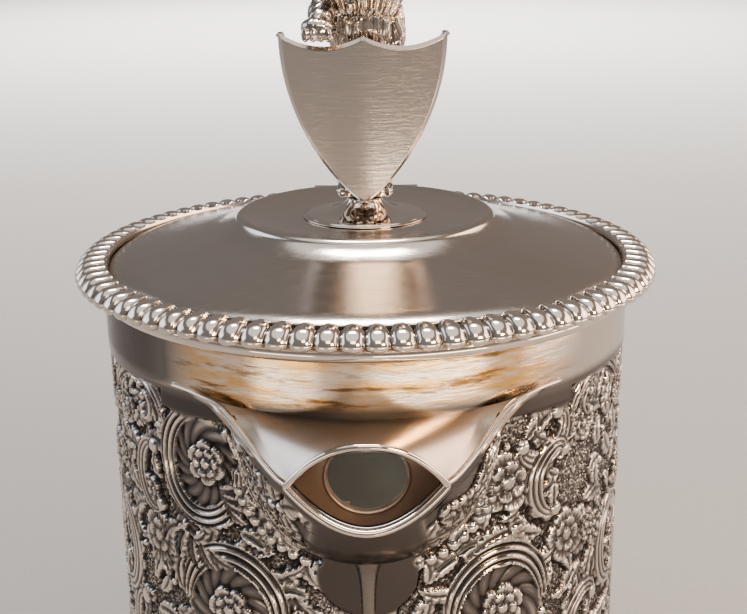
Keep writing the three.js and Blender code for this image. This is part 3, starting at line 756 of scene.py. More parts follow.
def body_wall():
    field, relief, plain = chased_field()
    turn = field.u / RADIUS
    radius = RADIUS - SUNK * (1 - plain) + RELIEF * relief
    outside = wrapped(radius, turn, field.z)
    inner_z = np.linspace(WALL_FOOT, 0, 60)
    inner_radius = np.full((len(inner_z), len(turn)), RADIUS - SUNK - 0.35)
    inside = wrapped(inner_radius, turn, inner_z)
    points = np.vstack([outside, inside])
    faces = grid_faces(len(points), len(turn), wrap_rows=True, wrap_columns=True)
    middle = points.reshape(-1, 3)[faces].mean(1)
    oval = (middle[:, 0] / WINDOW[0]) ** 2 + ((middle[:, 2] - WINDOW[2]) / WINDOW[1]) ** 2
    faces = faces[(oval > 1) | (middle[:, 1] > 0)]
    wall = mesh_object("wall_chased", points.reshape(-1, 3), faces[:, ::-1])
    middle = points.reshape(-1, 3)[faces].mean(1)
    inner = np.hypot(middle[:, 0], middle[:, 1]) < RADIUS - SUNK - 0.1
    in_spout = (np.hypot(middle[:, 0] / (BEAK_HALF_WIDTH - 3), (middle[:, 2] + 18.3) / 7.2) < 1) & (middle[:, 1] < 0)
    wall.data.polygons.foreach_set("material_index", np.where(inner, 2, np.where(in_spout, 1, 0)).astype(np.int32))
    darkening = np.zeros(points.shape[:2])
    neck = ease(field.z, ORNAMENT_TOP - 1.5, ORNAMENT_TOP + 1.5)[:, None]
    front = ease(-np.abs(field.u), -33, -20)[None, :]
    # Painted reflection and shade: the neck's sides are darkened, most on the left and least on the right, for dark
    # surroundings mirrored there. The plain zones below the neck (under the spout's root, beside the rib, along the
    # foot) get an even painted shade.
    painted_dark_reflection = 0.36 + 0.42 * np.exp(-(((field.u + 40) / 14) ** 2)) - 0.32 * np.exp(-(((field.u - 38) / 14) ** 2))
    painted_reflection_and_shade = np.maximum(painted_dark_reflection[None, :] * neck * (1 - front), 0.72 * plain * (1 - neck))
    darkening[: len(relief)] = np.maximum(hollows(relief, plain, DETAIL), painted_reflection_and_shade)
    add_attribute(wall, "patina_and_painted_shade", darkening)
    # Painted reflection: warm gold on the front of the neck.
    front_neck_reflection = np.zeros(points.shape[:2])
    front_neck_reflection[: len(relief)] = neck * front
    add_attribute(wall, "painted_warm_reflection", front_neck_reflection)
    belongs(wall, "jug", "chased_silver", "body_wall")
    wall.data.materials.append(SPOUT_INSIDE)
    wall.data.materials.append(MATERIALS["plain_silver"])
    return wall


def wrapped(radius, turn, z):
    """Points on the drum for a radius at each height and angle."""
    x = radius * np.sin(turn)[None, :]
    y = -radius * np.cos(turn)[None, :]
    return np.stack([x, y, np.repeat(z[:, None], len(turn), 1)], -1)


def window_edge():
    """The cut edge of the way through into the spout."""
    turn = np.linspace(0, TAU, 96, endpoint=False)
    x = (WINDOW[0] - 0.1) * np.cos(turn)
    z = WINDOW[2] + (WINDOW[1] - 0.1) * np.sin(turn)
    y = -np.sqrt((RADIUS - SHEET / 2) ** 2 - x**2)
    edge = tube("window_edge", np.stack([x, y + 0.1, z], 1), np.tile([0.72, 0.34], (96, 1)), 12, closed=True)
    belongs(edge, "jug", "chased_silver")
    edge.data.materials[0] = SPOUT_INSIDE
    return edge


def moulded(name, outline, body, slot, node, per_span=6, sides=200):
    return belongs(turned(name, smoothed_outline(outline, per_span), sides), body, slot, node)


def foot_rim():
    base = -TOP
    outline = [
        (36.7, base + 0.1), (36.9, base), (41.2, base), (41.8, base + 0.4), (42.0, base + 1.0), (41.8, base + 1.5),
        (41.1, base + 1.9), (41.6, base + 2.2), (42.0, base + 3.0), (41.6, base + 3.8), (41.0, base + 4.3),
        (40.5, base + 4.4), (40.2, base + 4.9), (39.3, base + 5.2), (38.7, base + 5.9), (38.0, base + 6.0),
        (37.9, base + 3.1), (36.7, base + 3.0),
    ]
    return moulded("foot_moulding", outline, "jug", "polished_silver", "foot_rim", per_span=5)


def rim_wire():
    turn = np.linspace(0, TAU, 16, endpoint=False)
    outline = np.stack([RADIUS + 0.15 + 0.7 * np.cos(turn), -1.1 + 1.0 * np.sin(turn)], 1)
    return belongs(turned("rim_bead", outline), "jug", "polished_silver", "rim_wire")


def base_plate():
    low = WALL_FOOT
    edge = RADIUS - SHEET - 0.1
    outline = [(0.01, low + 1.6), (18, low + 1.5), (22, low + 1.3), (30, low + 0.2), (32, low), (edge, low)]
    top = [(r, z + SHEET) for r, z in reversed(outline)]
    points = np.vstack([smoothed_outline(outline, 5), smoothed_outline(top, 5)])
    return belongs(turned("base_sheet", points, 120), "jug", "polished_silver", "base_plate")


# ---- spout ---------------------------------------------------------------------------------------------------------
def on_drum(turn, z, radius=RADIUS):
    return np.array([radius * math.sin(turn), -radius * math.cos(turn), z])


CREASE = smoothed_outline(
    [
        on_drum(WING_ANGLE, HOOD_ROOT_Z - 0.6, RADIUS + 0.3),
        (21.4, -32.4, -7.8),
        (17.9, -35.2, -8.7),
        (14.8, -38.8, -11.3),
        (13.0, -41.0, -12.9),
        (11.0, -43.6, -14.1),
        (MOUTH_HALF_WIDTH, -MOUTH_CORNER[0], MOUTH_CORNER[1]),
    ],
    12,
)


def crease_at(share):
    """A point on the crease: 0 at the wing's tip, 1 at the mouth's corner."""
    gaps = np.linalg.norm(np.diff(CREASE, axis=0), axis=1)
    length = np.concatenate([[0], np.cumsum(gaps)])
    return np.array([np.interp(share * length[-1], length, CREASE[:, k]) for k in range(3)])


def mouth_edge(s, middle, fullness):
    reach = middle[0] + (MOUTH_CORNER[0] - middle[0]) * s * s
    z = middle[1] + (MOUTH_CORNER[1] - middle[1]) * abs(s) ** fullness
    return np.array([MOUTH_HALF_WIDTH * s, -reach, z])


def front_edge(s, mouth_share, crease_from, middle, fullness):
    """The front edge of hood or bowl: the mouth between its corners, then the crease; s runs from -1 to 1."""
    if abs(s) <= mouth_share:
        return mouth_edge(s / mouth_share, middle, fullness)
    outward = (abs(s) - mouth_share) / (1 - mouth_share)
    return crease_at(1 + (crease_from - 1) * outward) * np.array([math.copysign(1, s), 1, 1])


def shell_piece(name, outside, thickness=SHEET):
    piece = grid_object(name, outside)
    add_modifier(piece, "SOLIDIFY", thickness=thickness * MM, offset=-1, material_offset=1)
    return piece


def spout_hood():
    rows = []
    for s in np.linspace(-1, 1, 141):
        fan = s * (1 + HOOD_FAN) / (1 + HOOD_FAN * abs(s))
        root = on_drum(fan * WING_ANGLE, HOOD_ROOT_Z - HOOD_SAG * (1 - fan**2), RADIUS - 0.6)
        front = front_edge(s, 0.42, 0.0, ARCH_TOP, ARCH_FULLNESS)
        v = np.linspace(0, 1, 36)[:, None]
        line = root + (front - root) * v
        line[:, 2] = root[2] + (front[2] - root[2]) * v[:, 0] ** 1.1
        rows.append(line)
    points = np.array(rows)
    hood = shell_piece("hood_sheet", points)
    orient(hood, up=True)
    # Painted reflection: warm gold on the hood, strongest where it meets the drum and fading towards the mouth.
    add_attribute(hood, "painted_warm_reflection", np.tile(0.35 * np.linspace(1, 0, 36) ** 1.5, 141))
    belongs(hood, "jug", "polished_silver", "spout_hood")
    hood.data.materials[0] = SATIN
    hood.data.materials.append(SPOUT_INSIDE)
    return hood


def hood_folds():
    """The rounded folds along both creases, from the wings' tips to the mouth's corners."""
    for side in (-1, 1):
        line = CREASE * [side, 1, 1] - [0, 0.1, 0.15]
        radius = np.interp(np.linspace(0, 1, len(line)), [0, 0.3, 1], [0.12, 0.34, 0.42])
        belongs(capped(tube(f"hood_fold_{side + 1}", line, radius[:, None] * [1, 1], 12)), "jug", "polished_silver", "spout_hood")


def orient(piece, up):
    """Makes an open sheet's faces look mostly up or mostly down."""
    mesh = piece.data
    normals = np.empty(len(mesh.polygons) * 3, np.float32)
    mesh.polygons.foreach_get("normal", normals)
    if (normals.reshape(-1, 3)[:, 2].mean() > 0) != up:
        mesh.flip_normals()


def spout_bowl():
    rows = []
    for s in np.linspace(-1, 1, 281):
        turn = s * math.pi / 2
        side = math.copysign(abs(math.sin(turn)) ** 0.8, turn)
        z = -10.6 + (BEAK_ROOT_Z + 10.6) * max(math.cos(turn), 0) ** 0.8
        root = on_drum(math.asin(BEAK_HALF_WIDTH * side / RADIUS), z, RADIUS - 0.6)
        front = front_edge(s, 0.45, 0.45, LIP_LOW, LIP_FULLNESS)
        front[2] -= 0.25 + 0.65 * ease(abs(s), 0.5, 0.8)
        v = np.linspace(0, 1, 90)
        line = root + (front - root) * v[:, None]
        belly = 1.9 * np.sin(np.pi * v) * max(math.cos(turn), 0) ** 0.5
        line[:, 1] -= belly * 0.5
        line[:, 2] -= belly
        rows.append(line)
    points = np.array(rows)
    relief, darkening = bowl_relief(points)
    normal = np.cross(np.gradient(points, axis=0), np.gradient(points, axis=1))
    normal /= np.linalg.norm(normal, axis=2, keepdims=True) + 1e-9
    if normal[len(normal) // 2, points.shape[1] // 2, 2] > 0:
        normal = -normal
    points = points + normal * relief[..., None]
    bowl = shell_piece("bowl_sheet", points)
    orient(bowl, up=False)
    add_attribute(bowl, "patina_and_painted_shade", darkening)
    belongs(bowl, "jug", "chased_silver", "spout_bowl")
    bowl.data.materials.append(SPOUT_INSIDE)
    return bowl


def bowl_relief(points):
    """Leaves and beads chased on both flanks of the bowl, away from its plain middle."""
    around_length, down_length = 34.0, 13.0
    rows, columns = points.shape[:2]
    field = Chasing(0, down_length, 1.0, around_length)
    field.columns, field.rows = rows, columns
    field.u = (np.arange(rows) / rows - 0.5) * around_length
    field.z = np.linspace(down_length, 0, columns)
    field.height = np.zeros((columns, rows))
    field.cover = np.zeros((columns, rows))
    rng = np.random.default_rng(3)
    for _ in range(120):
        side = rng.choice((-1, 1))
        u = side * rng.uniform(5.5, 16.5)
        z = rng.uniform(2.4, down_length)
        field.lay(u, z, leaf(rng.uniform(2.6, 4.4), 1.0, rng.uniform(0, TAU), rng.uniform(-1.5, 1.5), 4, 0.9))
    for side in (-1, 1):
        for k in range(9):
            field.lay(side * (7.0 + 1.05 * k), 3.2 + 0.55 * k, bead(0.62, 0.75))
    edge = ease(np.abs(field.u), 4.4, 5.6)[None, :] * ease(field.z, 1.3, 2.0)[:, None]
    relief = (field.height - 0.35) * edge
    # Painted shade: the plain middle of the bowl and the plain band under the lip are darkened evenly, besides the
    # patina in the leaves' hollows.
    darkening = np.maximum(hollows(relief, 1 - edge, 0.25), 0.62 * (1 - edge))
    return 0.7 * relief.T, darkening.T


def lip_wire():
    s = np.sin(np.linspace(-np.pi / 2, np.pi / 2, 90))
    upper = np.array([mouth_edge(t, ARCH_TOP, ARCH_FULLNESS) for t in s[:-1]])
    lower = np.array([mouth_edge(t, LIP_LOW, LIP_FULLNESS) for t in s[::-1][:-1]])
    upper[:, 2] -= 0.15
    lower[:, 2] -= 0.45
    line = np.vstack([upper, lower])
    line[:, 1] -= 0.35
    return belongs(ring_tube("lip_bead", line, 0.45), "jug", "polished_silver", "spout_lip_wire")


def ring_tube(name, line, radius, sides=14):
    """A round wire along a closed line that faces the front."""
    along = np.roll(line, -1, 0) - np.roll(line, 1, 0)
    along /= np.linalg.norm(along, axis=1, keepdims=True)
    front = np.array([0, -1.0, 0])
    front = front - along * (along @ front)[:, None]
    front /= np.linalg.norm(front, axis=1, keepdims=True)
    side = np.cross(along, front)
    turn = np.linspace(0, TAU, sides, endpoint=False)
    ring = front[:, None] * np.cos(turn)[None, :, None] + side[:, None] * np.sin(turn)[None, :, None]
    return grid_object(name, line[:, None] + radius * ring, wrap_rows=True, wrap_columns=True)


def spout_drop():
    low, high = node_box("spout_drop")
    top, foot = high.z - TOP + 3.0, low.z - TOP + 1.2
    t = np.linspace(0, 1, 60)
    line = np.stack([0 * t, -RADIUS + 0.15 + 0 * t, top + (foot - top) * t], 1)
    half = 1.25 - 0.7 * t**0.8 + 0.9 * np.exp(-((t / 0.14) ** 2)) + 0.35 * np.exp(-(((t - 0.97) / 0.05) ** 2))
    rib = capped(tube("drop_rib", line, np.stack([half, half * 1.1], 1), 28))
    # Painted shade: the whole rib is darkened evenly, for the shade it lies in under the spout.
    add_attribute(rib, "patina_and_painted_shade", np.full(len(rib.data.vertices), 0.7))
    return belongs(rib, "jug", "cast_silver", "spout_drop")


# ---- lid -----------------------------------------------------------------------------------------------------------
LOBES = 84
BORDER_INNER = LID_RADIUS - 4.6


def lid_plate():
    disc = 18.9
    outline = [
        (BORDER_INNER - 0.1, 1.55), (36.7, 2.05), (35.8, 2.55), (34.6, 2.95), (33, 3.3), (30, 4.0), (27, 4.75),
        (24, 5.5), (disc + 3.2, 5.95), (disc + 2.0, 6.4), (disc + 0.9, 6.95), (disc + 0.1, 7.5), (disc - 0.3, 7.95),
        (disc - 0.9, 8.2), (disc - 1.6, 8.1), (disc - 3, 7.8), (12.5, 7.45), (9, DISC_Z), (1.3, DISC_Z),
    ]
    outside = smoothed_outline(outline, 8)
    inside = (outside - [0, SHEET])[::-1]
    plate = turned("lid_sheet", np.vstack([outside, inside]), 240)
    return belongs(plate, "lid", "brushed_silver", "lid_plate")


def gadroon_border(name, section, lobes, deep, body, node, gap=None):
    """A ring of seed-shaped lobes across a rounded section: narrow at the inner end, plump at the outer end."""
    path = smoothed_outline(section, 9)
    length = np.linalg.norm(np.diff(path, axis=0), axis=1)
    p = np.concatenate([[0], np.cumsum(length)]) / length.sum()
    tangent = np.gradient(path, axis=0)
    normal = np.stack([tangent[:, 1], -tangent[:, 0]], 1)
    normal /= np.linalg.norm(normal, axis=1, keepdims=True)
    normal *= np.sign(normal[:, 1].mean())
    sides = lobes * 12
    turn = np.linspace(0, TAU, sides, endpoint=False)
    across = (turn[None, :] * lobes / TAU) % 1 * 2 - 1
    width = (0.62 + 0.36 * ease(p, 0.05, 0.4))[:, None]
    plump = np.clip(1 - np.abs(across / width) ** 2.4, 0, 1) ** 0.6
    swell = (ease(p, 0.05, 0.14) * ease(1 - p, 0.0, 0.10))[:, None]
    high = (0.75 + 0.25 * ease(p, 0.1, 0.5))[:, None]
    rise = deep * (plump * high - 0.6) * swell
    r = path[:, :1] + normal[:, :1] * rise
    z = path[:, 1:] + normal[:, 1:] * rise
    points = np.stack([r * np.sin(turn), -r * np.cos(turn), z], -1)
    back = np.array([[path[-1, 0] - 0.8, path[-1, 1] + 0.15], [path[0, 0], path[0, 1] - 1.2]])
    points = np.concatenate([points, around(back, sides)], 0)
    border = grid_object(name, points, wrap_rows=True, wrap_columns=True)
    darkening = np.zeros(points.shape[:2])
    darkening[: len(p)] = np.clip(1.0 - 1.5 * plump, 0, 1) * swell
    add_attribute(border, "patina_and_painted_shade", darkening)
    if gap:
        open_at_back(border, gap)
    return belongs(border, body, "cast_silver", node)


def open_at_back(piece, half_width):
    """Cuts a ring open at the back where the hinge leaf passes."""
    import bmesh

    mesh = bmesh.new()
    mesh.from_mesh(piece.data)
    lost = [
        f
        for f in mesh.faces
        if abs(f.calc_center_median().x) < half_width * MM and f.calc_center_median().y > AXIS_Y * MM
    ]
    bmesh.ops.delete(mesh, geom=lost, context="FACES")
    mesh.to_mesh(piece.data)
    mesh.free()


def lid_border():
    inner, outer = BORDER_INNER, LID_RADIUS
    section = [
        (inner, 2.3), (inner + 0.3, 2.75), (inner + 0.7, 2.8), (inner + 1.4, 2.75), (outer - 1.7, 2.45),
        (outer - 0.9, 1.95), (outer - 0.4, 1.25), (outer - 0.5, 0.65), (outer - 1.1, 0.4),
    ]
    half = node_box("hinge_leaf_lid")[1].x + 0.3
    return gadroon_border("border_lobes", section, LOBES, 0.95, "lid", "lid_border", gap=half)


def lid_bezel():
    outline = [(36, -3.8), (36.2, -4), (36.6, -4), (36.8, -3.7), (36.8, 0.8), (36, 0.8)]
    return belongs(turned("bezel_ring", outline, 160), "lid", "plain_silver", "lid_bezel")


# ---- finial --------------------------------------------------------------------------------------------------------
def finial_plinth():
    z = DISC_Z + 0.05
    outline = [
        (1.3, z), (8.5, z), (8.6, z + 0.25), (8.2, z + 0.42), (6.6, z + 0.55), (5.0, z + 0.85), (3.7, z + 1.4),
        (2.7, z + 2.1), (2.3, z + 2.7), (1.3, z + 2.7),
    ]
    return moulded("plinth_flare", outline, "lid", "polished_silver", "finial_plinth", per_span=4, sides=96)


def shield():
    """The bowed three-pointed shield, with a chamfer all round that catches the light."""
    low, high = node_box("shield")
    half_width, foot, top = high.x, low.z - TOP, high.z - TOP - 0.4
    front = high.y - AXIS_Y - 1.1
    s = np.sin(np.linspace(-np.pi / 2, np.pi / 2, 141))
    rows = []
    for v in (1 - np.cos(np.linspace(0, np.pi, 120))) / 2:
        half = half_width * math.sin(math.pi / 2 * (0.003 + 0.997 * v) ** 0.78)
        crest = top - 1.6 * np.sin(np.pi * np.abs(s)) ** 0.8 + 0.4 * s * s
        from_edge = np.minimum((1 - np.abs(s)) * half * 0.9, (1 - v) * (crest - foot))
        chamfer = 0.55 * (1 - np.clip(from_edge / 0.55, 0, 1))
        bow = 1.9 * (1 - (s * half / half_width) ** 2)
        rows.append(np.stack([half * s, front - bow + chamfer, foot + (crest - foot) * v], 1))
    face = grid_object("shield_face", np.array(rows))
    if sum(p.normal.y for p in face.data.polygons) > 0:
        face.data.flip_normals()
    add_modifier(face, "SOLIDIFY", thickness=0.9 * MM, offset=-1)
    return belongs(face, "lid", "brushed_silver", "shield")


def egg(mesh, centre, radii, tilt=(0, 0, 0), parts=(24, 16)):
    """Adds a stretched ball to a bmesh, in the jug's millimetres."""
    import bmesh

    place = Matrix.Translation(Vector(centre)) @ Euler(tilt).to_matrix().to_4x4()
    bmesh.ops.create_uvsphere(
        mesh, u_segments=parts[0], v_segments=parts[1], radius=1, matrix=place @ Matrix.Diagonal((*radii, 1))
    )


def limb(mesh, points, radii):
    """Adds a chain of balls along a line, close enough to read as one limb."""
    line = smoothed_outline(points, 8)
    size = np.interp(np.linspace(0, 1, len(line)), np.linspace(0, 1, len(radii)), radii)
    for p, r in zip(line, size):
        egg(mesh, p, (r, r, r), parts=(12, 8))


def fused(name, mesh, voxel, rounds):
    """Melts the parts of a bmesh into one skin."""
    data = bpy.data.meshes.new(name)
    mesh.to_mesh(data)
    mesh.free()
    piece = bpy.data.objects.new(name, data)
    bpy.context.scene.collection.objects.link(piece)
    add_modifier(piece, "REMESH", mode="VOXEL", voxel_size=voxel, use_smooth_shade=True)
    add_modifier(piece, "SMOOTH", factor=0.6, iterations=rounds)
    view_layer = bpy.context.view_layer
    view_layer.update()
    baked = bpy.data.meshes.new_from_object(piece.evaluated_get(bpy.context.evaluated_depsgraph_get()))
    piece.modifiers.clear()
    piece.data = baked
    return piece


def coordinates(piece):
    points = np.empty(len(piece.data.vertices) * 3, np.float32)
    piece.data.vertices.foreach_get("co", points)
    return points.reshape(-1, 3).astype(float)


def normals_of(piece):
    normals = np.empty(len(piece.data.vertices) * 3, np.float32)
    piece.data.vertices.foreach_get("normal", normals)
    return normals.reshape(-1, 3).astype(float)


def locks(turn, height, tall, wide, wander):
    """Overlapping pointed locks of hair: ridge across, saw tooth down, every second row shifted by half a lock."""
    row = height / tall + 0.35 * np.sin(turn / wide * 1.7 + wander)
    level = np.floor(row)
    down = 1 - (row - level)
    shift = 0.5 * (level % 2)
    across = np.abs(((turn / wide + shift) % 1) * 2 - 1)
    strands = 0.25 * np.cos(across * 9)
    return (1 - across) ** 0.7 * (0.35 + 0.65 * down**1.4) + strands * (0.4 + 0.6 * down)


def lion_body(mesh):
    """Hind legs, trunk and chest of the standing lion."""
    for side in (-1, 1):
        egg(mesh, (2.5 * side, 1.0, 11.2), (1.5, 2.6, 1.0))
        for toe in (-1, 0, 1):
            egg(mesh, (2.5 * side + 0.9 * toe, -1.2, 11.1), (0.58, 1.0, 0.75))
        limb(mesh, [(2.5 * side, 2.0, 11.4), (2.7 * side, 2.8, 14.4), (2.9 * side, 2.4, 18.4)], (1.2, 1.6, 2.3))
        egg(mesh, (2.9 * side, 2.5, 19.6), (2.5, 3.4, 4.7), (0.2, 0, 0))
    egg(mesh, (0, 2.0, 11.5), (3.0, 2.6, 1.2))
    egg(mesh, (0, 3.2, 20.5), (4.4, 3.8, 5.2))
    egg(mesh, (0, 3.0, 27), (4.2, 3.7, 7.2))
    egg(mesh, (0, 2.4, 34), (5.0, 4.2, 6.2))
    egg(mesh, (0, 3, 15.6), (2.4, 2.0, 5.0))


def lion_arms(mesh):
    limb(mesh, [(-3.4, 2.4, 36.4), (-5.6, 0.8, 36.6), (-6.0, -2.4, 35.6)], (2.2, 1.9, 1.6))
    egg(mesh, (-6.2, -4.3, 34.8), (2.3, 1.9, 1.3))
    for toe in range(4):
        egg(mesh, (-7.8 + 1.05 * toe, -5.6, 33.9), (0.56, 0.75, 1.0))
    limb(mesh, [(3.2, 2.6, 36), (4.3, 1.6, 33.4), (3.8, 0.6, 30)], (2.2, 1.7, 1.4))


def lion_head(mesh):
    """A plain heraldic lion's head, looking to the front."""
    egg(mesh, (0, 1.4, 41.0), (6.0, 4.6, 6.6))
    egg(mesh, (0, -1.0, 43.2), (3.7, 3.6, 4.0))
    egg(mesh, (0, -4.0, 41.8), (2.1, 2.3, 1.7))
    for side in (-1, 1):
        egg(mesh, (0.95 * side, -5.2, 41.4), (1.1, 1.2, 0.95))
        egg(mesh, (1.6 * side, -3.9, 44.7), (1.2, 0.9, 0.5), (0, 0.35 * side, 0))
        egg(mesh, (2.6 * side, -2.6, 42.4), (1.2, 1.2, 1.3))
        egg(mesh, (3.9 * side, 0.2, 46.8), (1.3, 0.8, 1.3))
    egg(mesh, (0, -4.2, 43.4), (0.75, 1.6, 1.3), (0.5, 0, 0))
    egg(mesh, (0, -6.1, 42.3), (0.85, 0.6, 0.5))
    egg(mesh, (0, -4.6, 40.0), (1.2, 1.2, 0.7))


def lion_eyes(points):
    """How much of a pair of eye sockets, a mouth line and nostrils to press in at each point."""
    pressed = np.zeros(len(points))
    for side in (-1, 1):
        eye = np.linalg.norm((points - [1.55 * side, -4.3, 43.7]) / [0.75, 0.9, 0.5], axis=1)
        ball = np.linalg.norm((points - [1.55 * side, -4.3, 43.7]) / [0.42, 0.9, 0.34], axis=1)
        pressed += 0.55 * np.exp(-(eye**2)) - 0.35 * np.exp(-(ball**4))
        nostril = np.linalg.norm((points - [0.4 * side, -6.6, 42.2]) / [0.22, 0.6, 0.18], axis=1)
        pressed += 0.2 * np.exp(-(nostril**2))
    mouth = np.abs(points[:, 2] - 40.9 + 0.12 * points[:, 0] ** 2) / 0.2
    front = ease(-points[:, 1], 4.0, 5.0)
    pressed += 0.4 * np.exp(-(mouth**2)) * front * (np.abs(points[:, 0]) < 1.9)
    return pressed


def lion():
    import bmesh

    mesh = bmesh.new()
    lion_body(mesh)
    lion_arms(mesh)
    lion_head(mesh)
    piece = fused("lion_cast", mesh, 0.17, 4)
    points = coordinates(piece)
    normals = normals_of(piece)
    x, y, z = points.T
    turn = np.arctan2(x, -(y - 2.6)) * 4.6
    mane = ease(z, 31, 35) * (1 - face_zone(points)) * (1 - arm_zone(points))
    coat = (1 - ease(z, 31, 35)) * (1 - face_zone(points)) + 0.7 * arm_zone(points)
    big = locks(turn, -z, 3.0, 1.5, 0.0)
    small = locks(turn * 1.0, -z, 1.9, 0.85, 2.0)
    lift = 0.62 * big * mane + 0.2 * small * coat - lion_eyes(points)
    points += normals * lift[:, None]
    darkening = np.clip(0.75 - 0.9 * big, 0, 1) * mane + np.clip(0.6 - 0.8 * small, 0, 1) * coat
    darkening += np.clip(lion_eyes(points) * 1.5, 0, 1)
    place_figure(piece, points)
    add_attribute(piece, "patina_and_painted_shade", np.clip(darkening, 0, 1))
    return belongs(piece, "lid", "cast_silver", "lion_figure")


def face_zone(points):
    """1 on the lion's face, 0 on its mane."""
    x, y, z = points.T
    disc = np.hypot(x / 3.6, (z - 42.8) / 4.0)
    return ease(1.15 - disc, 0, 0.2) * ease(-y, 0.8, 2.2)


def arm_zone(points):
    x, y, z = points.T
    return np.maximum(ease(np.abs(x), 5.4, 6.2) * ease(38.5 - z, 0, 1), ease(-y, 2.8, 3.4) * ease(38 - z, 0, 0.8))


def place_figure(piece, points):
    """Writes points in the jug's millimetres back to a figure's mesh, in metres."""
    placed = (points + np.array([0, AXIS_Y, TOP])) * MM
    piece.data.vertices.foreach_set("co", placed.astype(np.float32).ravel())
    piece.data.update()
    piece.data.shade_smooth()


def lion_tail():
    line = smoothed_outline(
        [(0, 6.2, 17.5), (0.6, 9.4, 19), (1, 10.6, 24), (0.4, 9.4, 29), (0.6, 10.4, 33), (0.9, 11, 37)], 12
    )
    t = np.linspace(0, 1, len(line))
    tuft = np.exp(-(((t - 0.86) / 0.09) ** 2))
    radius = 0.85 - 0.25 * t + 1.15 * tuft
    radius[-4:] *= np.linspace(0.8, 0.15, 4)
    tail = capped(tube("tail_cast", line, radius, 28))
    add_attribute(tail, "patina_and_painted_shade", np.full(len(tail.data.vertices), 0.35))
    return belongs(tail, "lid", "cast_silver", "lion_tail")


# ---- handle --------------------------------------------------------------------------------------------------------
HANDLE_LINE = smoothed_outline(
    [
        (0, 36.5, -17.5), (0, 44, -14.6), (0, 50.5, -10.8), (0, 60, -7.6), (0, 69, -11), (0, 73.6, -21.5),
        (0, 72, -34), (0, 65, -46), (0, 56.5, -55.5), (0, 48, -62.5), (0, 36.5, -67.5),
    ],
    24,
)
SOCKET_END = 10.5
COLLAR = 2.2
GRIP_START = SOCKET_END + COLLAR + 0.6


def handle_span(start, end, count):
    """Points on the handle's line between two lengths from its upper root; negative lengths count from the lower."""
    gaps = np.linalg.norm(np.diff(HANDLE_LINE, axis=0), axis=1)
    length = np.concatenate([[0], np.cumsum(gaps)])
    start, end = (length[-1] + s if s < 0 else s for s in (start, end))
    at = np.linspace(start, end, count)
    return np.stack([np.interp(at, length, HANDLE_LINE[:, k]) for k in range(3)], 1)


def handle_grip():
    line = handle_span(GRIP_START, -GRIP_START, 170)
    t = np.linspace(0, 1, len(line))
    middle = np.sin(np.pi * t)
    half = np.stack([3.5 + 0.7 * middle, 3.5 - 0.4 * middle], 1)
    for end in (0.0, 1.0):
        collar = np.exp(-(((t - end) / 0.014) ** 2))
        half += 0.5 * collar[:, None]
    grip = capped(tube("grip_scroll", line, half, 40))
    points = coordinates(grip) / MM - np.array([0, AXIS_Y, TOP])
    leafy = grip_leaf(points, line, t)
    placed = points + normals_of(grip) * leafy[:, None]
    place_figure(grip, placed)
    add_attribute(grip, "patina_and_painted_shade", np.clip(0.35 - leafy, 0, 1) * (leafy > 0.01))
    return belongs(grip, "jug", "chased_silver", "handle_grip")


def grip_leaf(points, line, t):
    """An acanthus leaf laid over the upper outside of the grip."""
    nearest = np.argmin(((points[:, None, 1:] - line[None, ::2, 1:]) ** 2).sum(2), axis=1) * 2
    share = t[np.minimum(nearest, len(t) - 1)]
    along = np.gradient(line, axis=0)[np.minimum(nearest, len(line) - 1)]
    out = np.stack([0 * share, -along[:, 2], along[:, 1]], 1)
    out /= np.linalg.norm(out, axis=1, keepdims=True)
    away = ((points - line[np.minimum(nearest, len(line) - 1)]) * out).sum(1)
    x = points[:, 0]
    span = np.clip((share - 0.02) / 0.42, 0, 1)
    half = 3.6 * np.sin(np.pi * span**0.8) ** 0.6 * (0.8 + 0.2 * np.abs(np.sin(np.pi * 7 * span)))
    across = np.abs(x) / (half + 1e-6)
    mask = ease(1 - across, 0, 0.25) * ease(away, 0.0, 0.8) * (span < 1) * (span > 0)
    veins = 0.5 + 0.5 * np.cos(TAU * (7 * span - 0.8 * across))
    return mask * (0.35 + 0.3 * veins + 0.25 * np.exp(-((x / 0.5) ** 2)))


def thumb_rest():
    """The leaf that stands up from the grip for the thumb."""
    line = smoothed_outline([(0, 59, -5.0), (0, 63.5, -3.6), (0, 68, -2.9), (0, 71.5, -0.6), (0, 72.6, 1.2)], 10)
    t = np.linspace(0, 1, len(line))
    wide = 1.2 + 2.2 * np.sin(np.pi * np.clip(t, 0, 0.93)) ** 0.8 * (0.85 + 0.15 * np.abs(np.sin(np.pi * 4 * t)))
    half = np.stack([wide, 1.5 - 1.0 * t], 1)
    rest = capped(tube("thumb_leaf", line, half, 24))
    add_attribute(rest, "patina_and_painted_shade", np.zeros(len(rest.data.vertices)))
    return belongs(rest, "jug", "chased_silver")


def handle_ends():
    for place, sign in (("upper", 1), ("lower", -1)):
        line = handle_span(0.3 * sign, SOCKET_END * sign, 60)
        t = np.linspace(0, 1, 60)
        half = 5.6 - 1.7 * ease(t, 0.0, 0.7)
        for ring, size in ((0.82, 0.35), (0.95, 0.55)):
            half = half + size * np.exp(-(((t - ring) / 0.035) ** 2))
        socket = capped(tube(f"socket_{place}", line, half, 48))
        belongs(socket, "jug", "polished_silver", f"handle_socket_{place}")
        collar_line = handle_span((SOCKET_END + 0.05) * sign, (SOCKET_END + COLLAR + 0.5) * sign, 24)
        t = np.linspace(-1, 1, 24)
        bulge = 4.1 + 0.6 * np.sqrt(1 - 0.9 * t**2)
        collar = capped(tube(f"collar_{place}", collar_line, bulge, 48))
        belongs(collar, "jug", "insulator", f"insulator_{place}")


